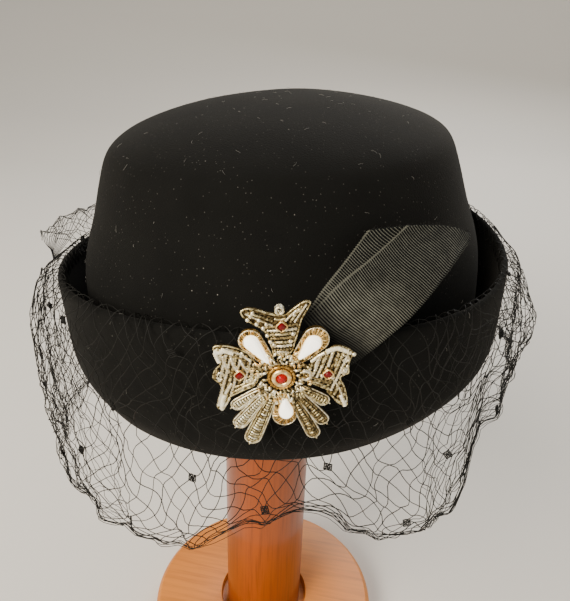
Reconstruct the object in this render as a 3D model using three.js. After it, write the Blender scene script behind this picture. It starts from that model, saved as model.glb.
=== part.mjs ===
import * as THREE from 'three';

// A black felt pillbox hat with a turned-up cuff, on a plain turned wooden stand.
// A net veil starts in the groove inside the cuff, goes over the rim and hangs below the fold.
// Two ribbon tails and an embroidered brooch with stones are sewn to the front of the cuff.
// Millimetres, +Z up, the front of the hat faces -Y. Origin: centre of the stand's foot.

// Driving dimensions
const clearance = 0.3;
const columns = 40;

const stand = {
  baseRadius: 70, baseThickness: 18, baseEdge: 2.5,
  recessRadius: 27.6, recessDepth: 6,
  postRadius: 23.5,
  capRadius: 56, capEdge: 5, capCrown: 14, socketDepth: 8,
};

const seat = { right: 10.1, front: 3.9, height: 204.2, leanBack: 0.017, leanLeft: 0.058 };

// Outer sizes of the felt, as half widths across the head (x) and front to back (y).
const felt = {
  wall: 2.5,
  height: 110.6, shoulderHeight: 93.3, shoulderX: 71.9, shoulderY: 84,
  foldX: 91.7, foldY: 104.1, grooveFloor: 0.7,
  bellyX: 98.9, bellyY: 108.5,
  rimX: 99.9, rimY: 107.6, rimHeight: 49.1,
  rimDip: 5, rimTwist: 1.5,
};

// The net stands out in two puffs, and its hem is high at the right and over the post.
const net = {
  wall: 1, strand: 2.6, standOff: 2.2, flare: 5,
  puffLeft: 13, leftAngle: -152, leftShare: 5,
  puffRight: 10, rightAngle: -12, rightShare: 8,
  tuck: 6, arch: 1.3, hem: 38, rightHem: 5, riseFrom: -44, riseTo: -32, fallFrom: 60, fallTo: 110,
  notchShare: 0.71, notchAngle: -75, notchLeft: 20, notchRight: 12,
  edgeMiddle: 0.36,
};

const ribbon = {
  wall: 1, width: 21, length: 50.5, slant: 25.5, crownGap: 4, leanFrom: 5, leanOver: 26,
};

const brooch = {
  angle: -78.2, height: 44.4, reach: 25,
  padX: 12, padY: 15, padThickness: 2.6, leafThickness: 2,
  rosetteRadius: 4.4, rosetteHeight: 3.2, rosetteBand: 1.3, stoneRadius: 1.85,
  dropHeight: 2.6, dropBand: 1.2, dropFloor: 0.5, dropPointRadius: 0.5,
  squareSide: 3.6, squareHeight: 1.3, squareBand: 0.7, squareFloor: 0.2,
  petalRootRadius: 0.75, beadRadius: 0.9, beadGap: 0.8, knobRadius: 1.4,
};

// Crown from its tip to the shoulder: shares of the shoulder's half widths and of the rise above it.
const tipRows = [
  { spread: 0, rise: 1 },
  { spread: 0.22, rise: 0.965 },
  { spread: 0.43, rise: 0.86 },
  { spread: 0.64, rise: 0.69 },
  { spread: 0.82, rise: 0.46 },
  { spread: 0.94, rise: 0.23 },
];
// Side of the crown: shares of the shoulder's height and of the flare from shoulder to fold.
const sideRows = [
  { up: 1, flare: 0.02 },
  { up: 0.9, flare: 0.24 },
  { up: 0.75, flare: 0.5 },
  { up: 0.53, flare: 0.9 },
  { up: 0.25, flare: 0.98 },
];
// Turned-up cuff: share of the rim's height, and how far it has swelled to belly and rim.
const cuffRows = [
  { up: 0.18, belly: 0.68, rim: 0 },
  { up: 0.3, belly: 0.93, rim: 0 },
  { up: 0.48, belly: 1, rim: 0 },
  { up: 0.75, belly: 1, rim: 0.55 },
  { up: 1, belly: 1, rim: 1 },
];
// The net outside the cuff: shares of the rim's height, of the hem's drop, of both puffs and of
// the flare.
const netRows = [
  { rim: 0.92, hem: 0, left: 0.55, right: 0.5, flare: 0 },
  { rim: 0.62, hem: 0, left: 0.9, right: 0.95, flare: 0 },
  { rim: 0.3, hem: 0, left: 1, right: 0.9, flare: 0 },
  { rim: 0, hem: 0.12, left: 0.95, right: 0.45, flare: 0.3 },
  { rim: 0, hem: 0.55, left: 0.75, right: 0.1, flare: 0.8 },
  { rim: 0, hem: 1, left: 0.5, right: 0, flare: 1 },
];
// Ribbon tails: where they start round the hat and above the brooch's middle, as a share of the
// ribbon's width; their heading above level and how far it turns on the way; shares of the
// ribbon's length and slant; their layer.
const tails = [
  {
    name: 'ribbon_tail_back', angle: -70.2, above: 0.43, heading: 36.4, turn: -16.3,
    length: 0.74, slant: 0.85, layer: 0,
  },
  {
    name: 'ribbon_tail_front', angle: -71.3, above: 0.36, heading: 23.9, turn: -12.9,
    length: 1, slant: 1, layer: 1,
  },
];
// Embroidered leaves: the direction of each point of the outline, and how far out it is from
// the ring of beads to the brooch's reach.
const leaves = {
  brooch_leaf_top: [
    { at: 86, out: 0.74 }, { at: 94, out: 0.76 }, { at: 106, out: 0.89 }, { at: 112, out: 0.97 },
    { at: 116, out: 0.96 }, { at: 114, out: 0.75 }, { at: 106, out: 0.52 }, { at: 106, out: 0.33 },
    { at: 106, out: 0.03 }, { at: 70, out: 0.05 }, { at: 69, out: 0.34 }, { at: 72, out: 0.63 },
    { at: 71, out: 0.8 }, { at: 70, out: 1.04 }, { at: 73, out: 1.03 }, { at: 79, out: 0.89 },
  ],
  brooch_leaf_left: [
    { at: 150, out: 0.05 }, { at: 141, out: 0.31 }, { at: 142, out: 0.52 }, { at: 146, out: 0.7 },
    { at: 151, out: 0.84 }, { at: 158, out: 0.72 }, { at: 163, out: 0.63 }, { at: 172, out: 0.71 },
    { at: 179, out: 0.73 }, { at: 185, out: 0.64 }, { at: 191, out: 0.62 }, { at: 200, out: 0.74 },
    { at: 209, out: 0.85 }, { at: 210, out: 0.74 }, { at: 204, out: 0.59 }, { at: 201, out: 0.31 },
    { at: 198, out: 0.07 }, { at: 172, out: 0.02 },
  ],
  brooch_leaf_right: [
    { at: -11, out: 0.02 }, { at: -18, out: 0.2 }, { at: -23, out: 0.46 }, { at: -31, out: 0.68 },
    { at: -30, out: 0.86 }, { at: -15, out: 0.69 }, { at: -4, out: 0.6 }, { at: 1, out: 0.71 },
    { at: 8, out: 0.72 }, { at: 15, out: 0.79 }, { at: 18, out: 0.87 }, { at: 25, out: 0.77 },
    { at: 31, out: 0.64 }, { at: 31, out: 0.48 }, { at: 30, out: 0.3 }, { at: 24, out: 0.15 },
    { at: 15, out: 0.03 },
  ],
};
// Petals below the centre: how far out they end, and their half width as a share of the reach.
const petals = [
  { angle: 215, out: 0.66, radius: 0.082 },
  { angle: 231.5, out: 0.91, radius: 0.084 },
  { angle: 244.8, out: 1.11, radius: 0.098 },
  { angle: 295, out: 1.03, radius: 0.084 },
  { angle: 307.5, out: 0.86, radius: 0.08 },
  { angle: 325, out: 0.6, radius: 0.082 },
];
// Teardrop stones, their point towards the centre: as shares of the reach, how far the point
// stands back from the rosette, the length from point to round end, and the stone's half width;
// and the share of the band's width.
const drops = [
  { angle: 124.2, back: 0, length: 0.33, radius: 0.088, band: 1 },
  { angle: 50, back: 0.06, length: 0.26, radius: 0.094, band: 1.2 },
  { angle: 272, back: 0.035, length: 0.23, radius: 0.088, band: 1.15 },
];
const squares = [{ at: 88, out: 0.58 }, { at: 172, out: 0.29 }, { at: 4, out: 0.37 }];
const beadAngles = [90, 152, 175, 198, 221, 245, 297, 320, 343, 6, 28];
const knob = { at: 90, out: 0.855 };

const radians = THREE.MathUtils.degToRad;
const radiansToDegrees = THREE.MathUtils.radToDeg;
const lerp = THREE.MathUtils.lerp;

const materials = {
  felt: new THREE.MeshStandardMaterial({ color: '#161616', roughness: 0.95, metalness: 0 }),
  net: new THREE.MeshStandardMaterial({ color: '#1b1b1b', roughness: 0.8, metalness: 0 }),
  ribbon: new THREE.MeshStandardMaterial({ color: '#20201f', roughness: 0.7, metalness: 0 }),
  pad: new THREE.MeshStandardMaterial({ color: '#1a1917', roughness: 0.9, metalness: 0 }),
  silver: new THREE.MeshStandardMaterial({ color: '#9c8a66', roughness: 0.4, metalness: 0.9 }),
  gold: new THREE.MeshStandardMaterial({ color: '#c89a5c', roughness: 0.35, metalness: 0.9 }),
  white: new THREE.MeshStandardMaterial({ color: '#f2efe4', roughness: 0.25, metalness: 0 }),
  red: new THREE.MeshStandardMaterial({ color: '#b3121d', roughness: 0.15, metalness: 0 }),
  post: new THREE.MeshStandardMaterial({ color: '#b8691f', roughness: 0.35, metalness: 0 }),
  beech: new THREE.MeshStandardMaterial({ color: '#c99a5b', roughness: 0.55, metalness: 0 }),
};

function addPiece(parent, name, geometry, material) {
  const mesh = new THREE.Mesh(geometry, material);
  mesh.name = name;
  parent.add(mesh);
  return mesh;
}

function bodyFrom(vertices, faces) {
  const geometry = new THREE.BufferGeometry();
  geometry.setAttribute('position', new THREE.Float32BufferAttribute(vertices.flat(), 3));
  geometry.setIndex(faces.flat());
  geometry.computeVertexNormals();
  return geometry;
}

// Thickens a sheet both ways from its middle. Each patch is a list of [u, v] corners, counter-
// clockwise in u and v; edges that no two patches share become the walls of rims and holes.
function thicken(patches, pointAt, wall, loop = 0) {
  const numbers = new Map();
  const vertices = [];
  const step = 0.2;
  const numberOf = ([u, v]) => {
    const turned = loop ? (u + loop) % loop : u;
    const key = `${turned.toFixed(3)} ${v.toFixed(3)}`;
    if (!numbers.has(key)) {
      const across = pointAt(u + step, v).sub(pointAt(u - step, v));
      const along = pointAt(u, v + step).sub(pointAt(u, v - step));
      const offset = across.cross(along).setLength(wall / 2);
      const middle = pointAt(u, v);
      numbers.set(key, vertices.length / 2);
      vertices.push(middle.clone().add(offset).toArray(), middle.sub(offset).toArray());
    }
    return numbers.get(key);
  };
  const front = (n) => 2 * n;
  const back = (n) => 2 * n + 1;
  const faces = [];
  const open = new Map();
  for (const patch of patches) {
    const corners = patch.map(numberOf);
    for (let i = 1; i + 1 < corners.length; i += 1) {
      const [a, b, c] = [corners[0], corners[i], corners[i + 1]];
      faces.push([front(a), front(b), front(c)], [back(a), back(c), back(b)]);
    }
    corners.forEach((a, i) => {
      const b = corners[(i + 1) % corners.length];
      if (!open.delete(`${b} ${a}`)) open.set(`${a} ${b}`, [a, b]);
    });
  }
  for (const [a, b] of open.values()) {
    faces.push([front(b), front(a), back(a)], [front(b), back(a), back(b)]);
  }
  return bodyFrom(vertices, faces);
}

// A low body on an outline: rings of it at rising heights, each drawn by ringAt(row).
function stacked(rings) {
  const count = rings[0].length;
  const vertices = rings.flat();
  const middleOf = (ring) => [0, 1, 2].map((k) => ring.reduce((sum, p) => sum + p[k], 0) / count);
  const low = vertices.push(middleOf(rings[0])) - 1;
  const high = vertices.push(middleOf(rings[rings.length - 1])) - 1;
  const faces = [];
  for (let i = 0; i < count; i += 1) {
    const next = (i + 1) % count;
    faces.push([low, next, i]);
    for (let row = 0; row + 1 < rings.length; row += 1) {
      const [a, b] = [row * count + i, row * count + next];
      faces.push([a, b, b + count], [a, b + count, a + count]);
    }
    const top = (rings.length - 1) * count;
    faces.push([high, top + i, top + next]);
  }
  return bodyFrom(vertices, faces);
}

// Height of the rim above the fold: higher in front and behind than at the sides.
function rimHeightAt(angle) {
  return felt.rimHeight - felt.rimDip * Math.cos(2 * angle) + felt.rimTwist * Math.sin(2 * angle);
}

const foldRadius = (felt.wall + felt.grooveFloor) / 2;
const crownX = felt.foldX - 2 * foldRadius;
const crownY = felt.foldY - 2 * foldRadius;

// Half widths of the crown's outer face at a height up to its shoulder.
function crownAt(z) {
  const share = z / felt.shoulderHeight;
  const rows = [...sideRows, { up: 0, flare: 1 }];
  const low = rows.findIndex((row, i) => i > 0 && row.up <= share);
  const i = low < 0 ? rows.length - 1 : low;
  const k = THREE.MathUtils.clamp((rows[i - 1].up - share) / (rows[i - 1].up - rows[i].up), 0, 1);
  const flare = lerp(rows[i - 1].flare, rows[i].flare, k);
  return { x: lerp(felt.shoulderX, crownX, flare), y: lerp(felt.shoulderY, crownY, flare) };
}

// The felt as one folded sheet: tip, crown side, round the fold and up the cuff to the rim.
function feltSections() {
  const half = felt.wall / 2;
  const sections = tipRows.map(({ spread, rise }) => ({
    x: spread * (felt.shoulderX - half), y: spread * (felt.shoulderY - half),
    z: lerp(felt.shoulderHeight, felt.height, rise) - half, lift: 0,
  }));
  for (const { up, flare } of sideRows) {
    sections.push({
      x: lerp(felt.shoulderX, crownX, flare) - half, y: lerp(felt.shoulderY, crownY, flare) - half,
      z: up * (felt.shoulderHeight - half), lift: 0,
    });
  }
  for (const turn of [180, 225, 270, 315, 360]) {
    const [out, up] = [Math.cos(radians(turn)), Math.sin(radians(turn))];
    sections.push({
      x: felt.foldX - half - foldRadius * (1 - out), y: felt.foldY - half - foldRadius * (1 - out),
      z: half + foldRadius * (1 + up), lift: 0,
    });
  }
  for (const { up, belly, rim } of cuffRows) {
    sections.push({
      x: felt.foldX + belly * (felt.bellyX - felt.foldX) + rim * (felt.rimX - felt.bellyX) - half,
      y: felt.foldY + belly * (felt.bellyY - felt.foldY) + rim * (felt.rimY - felt.bellyY) - half,
      z: up * felt.rimHeight, lift: up,
    });
  }
  return sections;
}

function ellipsePoint(angle, x, y, z) {
  return new THREE.Vector3(x * Math.cos(angle), y * Math.sin(angle), z);
}

const columnAngle = (u) => (2 * Math.PI * u) / columns;

function makeFelt() {
  const sections = feltSections();
  const last = sections.length - 1;
  const outline = new THREE.CatmullRomCurve3(
    sections.map(({ x, y, z }) => new THREE.Vector3(x, y, z)), false, 'centripetal');
  const pointAt = (u, v) => {
    const at = THREE.MathUtils.clamp(v, 0.02, last);
    const { x, y, z } = outline.getPoint(at / last);
    const row = Math.min(Math.floor(at), last - 1);
    const lift = lerp(sections[row].lift, sections[row + 1].lift, at - row);
    const angle = columnAngle(u);
    if (v === 0) return new THREE.Vector3(0, 0, sections[0].z);
    return ellipsePoint(angle, x, y, z + lift * (rimHeightAt(angle) - felt.rimHeight));
  };
  const patches = [];
  for (let u = 0; u < columns; u += 1) {
    patches.push([[u + 1, 1], [u, 1], [0, 0]]);
    for (let v = 1; v < last; v += 1) {
      patches.push([[u, v], [u + 1, v], [u + 1, v + 1], [u, v + 1]]);
    }
  }
  return thicken(patches, pointAt, felt.wall, columns);
}

// Degrees from one direction to another, between -180 and 180.
const degreesFrom = (angle, start) => ((((radiansToDegrees(angle) - start) % 360) + 540) % 360) - 180;

function puffShare(angle, middle, power) {
  return Math.max(0, Math.cos(radians(degreesFrom(angle, middle)))) ** power;
}

// How far the hem hangs below the fold.
function hemDrop(angle) {
  const here = degreesFrom(angle, 0);
  const rise = THREE.MathUtils.smoothstep(here, net.riseFrom, net.riseTo);
  const fall = THREE.MathUtils.smoothstep(here, net.fallFrom, net.fallTo);
  const away = degreesFrom(angle, net.notchAngle);
  const width = away < 0 ? net.notchLeft : net.notchRight;
  const notch = net.notchShare * Math.exp(-((away / width) ** 2));
  return lerp(net.hem * (1 - notch), net.rightHem, rise * (1 - fall));
}

// Sections of the net at one angle, from its tucked-in edge over the rim and down to the hem.
function netSections(angle) {
  const rim = rimHeightAt(angle);
  const reach = felt.wall / 2 + clearance + net.wall / 2;
  const middleX = felt.rimX - felt.wall / 2;
  const middleY = felt.rimY - felt.wall / 2;
  const over = [180, 120, 60, 0].map((turn) => {
    const out = reach * Math.cos(radians(turn));
    const up = clearance + (reach * Math.sin(radians(turn))) / net.arch;
    return { x: middleX + out, y: middleY + out, z: rim + up };
  });
  const tucked = { x: middleX - reach, y: middleY - reach, z: rim - net.tuck };
  const [left, right] = [puffShare(angle, net.leftAngle, net.leftShare),
    puffShare(angle, net.rightAngle, net.rightShare)];
  const hem = hemDrop(angle);
  const hanging = netRows.map((row) => {
    const puff = net.puffLeft * left * row.left + net.puffRight * right * row.right;
    const out = net.standOff + puff + net.flare * row.flare;
    return { x: felt.bellyX + out, y: felt.bellyY + out, z: row.rim * rim - row.hem * hem };
  });
  return [tucked, ...over, ...hanging];
}

// The net: a plain heading over the rim, then coarse meshes in staggered rows down to the hem.
function makeNet() {
  const heading = 5;
  const last = heading + netRows.length - 1;
  const pointAt = (u, v) => {
    const angle = columnAngle(u);
    const at = THREE.MathUtils.clamp(v, 0, last);
    const row = Math.min(Math.floor(at), last - 1);
    const sections = netSections(angle);
    const [a, b] = [sections[row], sections[row + 1]];
    const k = at - row;
    return ellipsePoint(angle, lerp(a.x, b.x, k), lerp(a.y, b.y, k), lerp(a.z, b.z, k));
  };
  const patches = [];
  for (let u = 0; u < columns; u += 1) {
    for (let v = 0; v < heading; v += 1) {
      patches.push([[u, v], [u + 1, v], [u + 1, v + 1], [u, v + 1]]);
    }
  }
  const meshWidth = (2 * Math.PI * (felt.bellyX + felt.bellyY)) / columns;
  const opening = 1 - (Math.SQRT2 * net.strand) / meshWidth;
  for (let v = heading; v <= last; v += 1) {
    for (let u = (v - heading + 1) % 2; u < columns; u += 2) {
      const above = Math.max(v - 1, heading);
      const below = Math.min(v + 1, last);
      const corners = [[u - 1, v], [u, above], [u + 1, v], [u, below]];
      const whole = v > heading && v < last;
      const middle = v + (whole ? 0 : (below + above - 2 * v) * net.edgeMiddle);
      const share = whole ? opening : opening ** 3;
      const hole = corners.map(([a, b]) => [u + (a - u) * share, middle + (b - middle) * share]);
      corners.forEach((corner, i) => {
        const next = (i + 1) % corners.length;
        patches.push([corner, corners[next], hole[next], hole[i]]);
      });
    }
  }
  return thicken(patches, pointAt, net.wall, columns);
}

// The surface that the ribbon tails follow: outside the net and cuff, then leaning on the crown.
function drapeAt(angle, z) {
  const outside = net.standOff + net.wall / 2 + clearance + ribbon.wall / 2;
  const start = rimHeightAt(angle) + ribbon.leanFrom;
  const share = THREE.MathUtils.smoothstep(z, start, start + ribbon.leanOver);
  const crown = crownAt(z);
  return ellipsePoint(
    angle,
    lerp(felt.bellyX + outside, crown.x + ribbon.crownGap, share),
    lerp(felt.bellyY + outside, crown.y + ribbon.crownGap, share),
    z,
  );
}

// How far the surface moves for each radian round the hat and each millimetre up it.
function drapeSteps(angle, z) {
  const delta = 0.01;
  const round = drapeAt(angle + delta, z).sub(drapeAt(angle - delta, z)).divideScalar(2 * delta);
  const up = drapeAt(angle, z + delta).sub(drapeAt(angle, z - delta)).divideScalar(2 * delta);
  return { round, up };
}

function makeTail(tail) {
  const along = 12;
  const across = 4;
  const length = tail.length * ribbon.length;
  const slant = tail.slant * ribbon.slant;
  const stride = (length + slant) / along;
  const stations = [];
  let [turn, z] = [radians(tail.angle), brooch.height + tail.above * ribbon.width];
  for (let i = 0; i <= along; i += 1) {
    const { round, up } = drapeSteps(turn, z);
    const heading = radians(tail.heading + tail.turn * (i / along - 0.5));
    stations.push({ turn, z, round: round.length(), up: up.length(), heading });
    turn += (stride * Math.cos(heading)) / round.length();
    z += (stride * Math.sin(heading)) / up.length();
  }
  const pointAt = (u, v) => {
    const aside = (u / across - 0.5) * ribbon.width;
    const end = length + slant * (u / across);
    const at = (v * end) / (stride * along);
    const i = THREE.MathUtils.clamp(Math.floor(at), 0, along - 1);
    const [a, b] = [stations[i], stations[i + 1]];
    const chart = (name) => lerp(a[name], b[name], at - i);
    const turned = chart('turn') + (aside * Math.sin(chart('heading'))) / chart('round');
    const height = chart('z') - (aside * Math.cos(chart('heading'))) / chart('up');
    const { round, up } = drapeSteps(turned, height);
    const offset = round.cross(up).setLength(tail.layer * (ribbon.wall + clearance) + 1e-6);
    return drapeAt(turned, height).add(offset);
  };
  const patches = [];
  for (let u = 0; u < across; u += 1) {
    for (let v = 0; v < along; v += 1) {
      patches.push([[u, v], [u + 1, v], [u + 1, v + 1], [u, v + 1]]);
    }
  }
  return thicken(patches, pointAt, ribbon.wall);
}

// Hull of a small circle and a large one, on a line from the brooch's centre.
function teardrop({ angle, point, end, pointRadius, radius, grow = 0, steps = 12 }) {
  const turn = Math.acos((pointRadius - radius) / (end - point));
  const outline = [];
  const arc = (centre, size, from, to, count) => {
    for (let i = 0; i < count; i += 1) {
      const at = lerp(from, to, i / (count - 1));
      outline.push([centre + (size + grow) * Math.cos(at), (size + grow) * Math.sin(at)]);
    }
  };
  arc(end, radius, -turn, turn, steps - 4);
  arc(point, pointRadius, turn, 2 * Math.PI - turn, 4);
  const [c, s] = [Math.cos(radians(angle)), Math.sin(radians(angle))];
  return outline.map(([x, y]) => [c * x - s * y, s * x + c * y]);
}

function circle(radius, sides, x = 0, y = 0, radiusY = radius) {
  return Array.from({ length: sides }, (_, i) => {
    const at = (2 * Math.PI * (i + 0.5)) / sides;
    return [x + radius * Math.cos(at), y + radiusY * Math.sin(at)];
  });
}

function shrink(outline, share) {
  const x = outline.reduce((sum, p) => sum + p[0], 0) / outline.length;
  const y = outline.reduce((sum, p) => sum + p[1], 0) / outline.length;
  return outline.map((p) => [lerp(x, p[0], share), lerp(y, p[1], share)]);
}

const atHeight = (outline, z) => outline.map(([x, y]) => [x, y, z]);

// A plate with a softened upper edge.
function plate(outline, base, height, inset = 0.88) {
  return stacked([
    atHeight(outline, base),
    atHeight(outline, base + 0.6 * height),
    atHeight(shrink(outline, inset), base + height),
  ]);
}

// A domed stone with a flat back.
function cabochon(outline, base, height) {
  return stacked([
    atHeight(outline, base),
    atHeight(outline, base + 0.35 * height),
    atHeight(shrink(outline, 0.8), base + 0.8 * height),
    atHeight(shrink(outline, 0.4), base + height),
  ]);
}

// A tray that holds a stone: outer edge, band, and the floor inside the inner edge.
function tray(outer, inner, base, height, floor) {
  const crest = outer.map(([x, y], i) => [lerp(x, inner[i][0], 0.4), lerp(y, inner[i][1], 0.4)]);
  return stacked([
    atHeight(outer, base),
    atHeight(outer, base + 0.55 * height),
    atHeight(crest, base + height),
    atHeight(inner, base + 0.8 * height),
    atHeight(inner, base + floor),
  ]);
}

// The ring of beads ends here, and leaves and petals start outside it.
const broochCore = brooch.rosetteRadius + brooch.beadGap + 2 * brooch.beadRadius + clearance;

function fromCore({ at, out }) {
  const radius = lerp(broochCore, brooch.reach, out);
  return [radius * Math.cos(radians(at)), radius * Math.sin(radians(at))];
}

function leafOutline(points) {
  const curve = new THREE.CatmullRomCurve3(
    points.map((point) => new THREE.Vector3(...fromCore(point), 0)), true, 'centripetal');
  const steps = Math.round(1.5 * points.length);
  return curve.getPoints(steps).slice(0, -1).map((p) => [p.x, p.y]);
}

function addBrooch(parent) {
  const { silver, gold, white, red, pad } = materials;
  const layer = brooch.padThickness + clearance;
  const leafTop = layer + brooch.leafThickness;
  const padOutline = circle(brooch.padX, 28, 0, 0, brooch.padY);
  addPiece(parent, 'brooch_pad', plate(padOutline, 0, brooch.padThickness), pad);
  for (const [name, points] of Object.entries(leaves)) {
    addPiece(parent, name, plate(leafOutline(points), layer, brooch.leafThickness), silver);
  }
  petals.forEach(({ angle, out, radius }, i) => {
    const half = radius * brooch.reach;
    const outline = teardrop({
      angle, point: broochCore + clearance + brooch.petalRootRadius,
      end: lerp(broochCore, brooch.reach, out) - half,
      pointRadius: brooch.petalRootRadius, radius: half, steps: 14,
    });
    addPiece(parent, `brooch_petal_${i + 1}`, plate(outline, layer, brooch.leafThickness, 0.82), silver);
  });
  drops.forEach(({ angle, back, length, radius, band }, i) => {
    const { dropHeight, dropFloor, dropPointRadius, reach } = brooch;
    const dropBand = band * brooch.dropBand;
    const seatEdge = brooch.rosetteRadius + clearance + dropBand + clearance + dropPointRadius;
    const point = seatEdge + back * reach;
    const shape = {
      angle, point, end: point + length * reach, radius: radius * reach,
      pointRadius: dropPointRadius, steps: 16,
    };
    const outer = teardrop({ ...shape, grow: clearance + dropBand });
    const inner = teardrop({ ...shape, grow: clearance });
    addPiece(parent, `drop_setting_${i + 1}`, tray(outer, inner, layer, dropHeight, dropFloor), gold);
    const base = layer + dropFloor + clearance;
    addPiece(parent, `drop_stone_${i + 1}`, cabochon(teardrop(shape), base, dropHeight), white);
  });
  const rosetteRim = circle(brooch.rosetteRadius, 20);
  const hollow = circle(brooch.stoneRadius + clearance, 20);
  const ring = circle(brooch.stoneRadius + clearance + brooch.rosetteBand, 20);
  const ringBase = layer + 0.5 * brooch.rosetteHeight;
  addPiece(parent, 'brooch_rosette', stacked([
    atHeight(rosetteRim, layer),
    atHeight(rosetteRim, ringBase),
    atHeight(ring, ringBase + 0.1 * brooch.rosetteHeight),
    atHeight(ring, layer + brooch.rosetteHeight),
    atHeight(hollow, layer + brooch.rosetteHeight),
    atHeight(hollow, ringBase),
  ]), gold);
  const centreHeight = 0.65 * brooch.rosetteHeight;
  const centre = cabochon(circle(brooch.stoneRadius, 14), ringBase + clearance, centreHeight);
  addPiece(parent, 'centre_stone', centre, red);
  squares.forEach((square, i) => {
    const [x, y] = fromCore(square);
    const base = leafTop + clearance;
    const half = brooch.squareSide / 2;
    const outer = circle(half, 8, x, y);
    const inner = circle(half - brooch.squareBand, 8, x, y);
    const stone = circle(half - brooch.squareBand - clearance, 8, x, y);
    const setting = tray(outer, inner, base, brooch.squareHeight, brooch.squareFloor);
    addPiece(parent, `small_setting_${i + 1}`, setting, gold);
    const stoneBase = base + brooch.squareFloor + clearance;
    addPiece(parent, `small_stone_${i + 1}`, cabochon(stone, stoneBase, brooch.squareHeight), red);
  });
  beadAngles.forEach((angle, i) => {
    const sphere = new THREE.SphereGeometry(brooch.beadRadius, 10, 4);
    const bead = addPiece(parent, `brooch_bead_${i + 1}`, sphere, silver);
    const at = radians(angle);
    const ring = brooch.rosetteRadius + brooch.beadGap + brooch.beadRadius;
    bead.position.set(ring * Math.cos(at), ring * Math.sin(at), layer + brooch.beadRadius);
  });
  const knobSphere = new THREE.SphereGeometry(brooch.knobRadius, 10, 5);
  const knobBead = addPiece(parent, 'brooch_knob', knobSphere, silver);
  knobBead.position.set(...fromCore(knob), layer + brooch.leafThickness / 2);
}

// A turned body from a profile of [radius, height] points that starts and ends on the axis.
function turned(profile, sides) {
  const points = profile.map(([radius, z]) => new THREE.Vector2(radius, z));
  return new THREE.LatheGeometry(points, sides).rotateX(Math.PI / 2);
}

// The cap's top stays just under the crown's inner face, at the one point where they meet.
function capHeightUnder(hat) {
  hat.updateMatrixWorld(true);
  const inner = felt.wall + clearance;
  let height = Infinity;
  for (const { spread, rise } of tipRows) {
    for (let u = 0; u < columns; u += 1) {
      const point = ellipsePoint(
        columnAngle(u), spread * (felt.shoulderX - inner), spread * (felt.shoulderY - inner),
        lerp(felt.shoulderHeight, felt.height, rise) - inner,
      ).applyMatrix4(hat.matrixWorld);
      const radius = Math.hypot(point.x, point.y);
      if (radius < stand.capRadius) {
        height = Math.min(height, point.z + stand.capCrown * (radius / stand.capRadius) ** 2);
      }
    }
  }
  return height - clearance;
}

function addStand(parent, hat) {
  const { baseRadius, baseEdge, baseThickness, recessRadius, recessDepth, postRadius } = stand;
  const floor = baseThickness - recessDepth;
  addPiece(parent, 'stand_base', turned([
    [0, 0], [baseRadius - baseEdge, 0], [baseRadius, baseEdge],
    [baseRadius, baseThickness - baseEdge], [baseRadius - baseEdge, baseThickness],
    [recessRadius, baseThickness], [recessRadius, floor], [0, floor],
  ], 36), materials.beech);
  const top = capHeightUnder(hat);
  const under = top - stand.capCrown - stand.capEdge;
  const socket = postRadius + clearance;
  const ceiling = under + stand.socketDepth;
  const capProfile = [[0, ceiling], [socket, ceiling], [socket, under], [stand.capRadius, under]];
  for (const share of [1, 0.8, 0.6, 0.4, 0.2, 0]) {
    capProfile.push([share * stand.capRadius, top - stand.capCrown * share ** 2]);
  }
  addPiece(parent, 'stand_cap', turned(capProfile, 28), materials.beech);
  const foot = floor + clearance;
  const head = ceiling - clearance;
  const postProfile = [[0, foot], [postRadius, foot], [postRadius, head], [0, head]];
  addPiece(parent, 'stand_post', turned(postProfile, 32), materials.post);
}

function buildHat() {
  const hat = new THREE.Group();
  hat.position.set(seat.right, -seat.front, stand.baseThickness + seat.height);
  hat.rotation.set(seat.leanBack, -seat.leanLeft, 0);
  addPiece(hat, 'felt_body', makeFelt(), materials.felt);
  addPiece(hat, 'veil_net', makeNet(), materials.net);
  for (const tail of tails) addPiece(hat, tail.name, makeTail(tail), materials.ribbon);

  const angle = radians(brooch.angle);
  const away = net.standOff + net.wall / 2 + clearance;
  const normal = ellipsePoint(angle, 1 / felt.bellyX, 1 / felt.bellyY, 0).normalize();
  const panel = new THREE.Group();
  panel.position.copy(ellipsePoint(angle, felt.bellyX, felt.bellyY, brooch.height));
  panel.position.addScaledVector(normal, away);
  panel.rotation.set(Math.PI / 2, 0, Math.atan2(normal.y, normal.x) + Math.PI / 2, 'ZYX');
  addBrooch(panel);
  hat.add(panel);
  return hat;
}

const group = new THREE.Group();
const hat = buildHat();
group.add(hat);
addStand(group, hat);

export default group;
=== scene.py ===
# A black felt pillbox hat with a net veil, two ribbon tails and an embroidered brooch, on its
# turned wooden stand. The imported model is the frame, and every piece here is made around it.
import math
import random

import bmesh
import bpy
from mathutils import Matrix, Vector, noise


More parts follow.
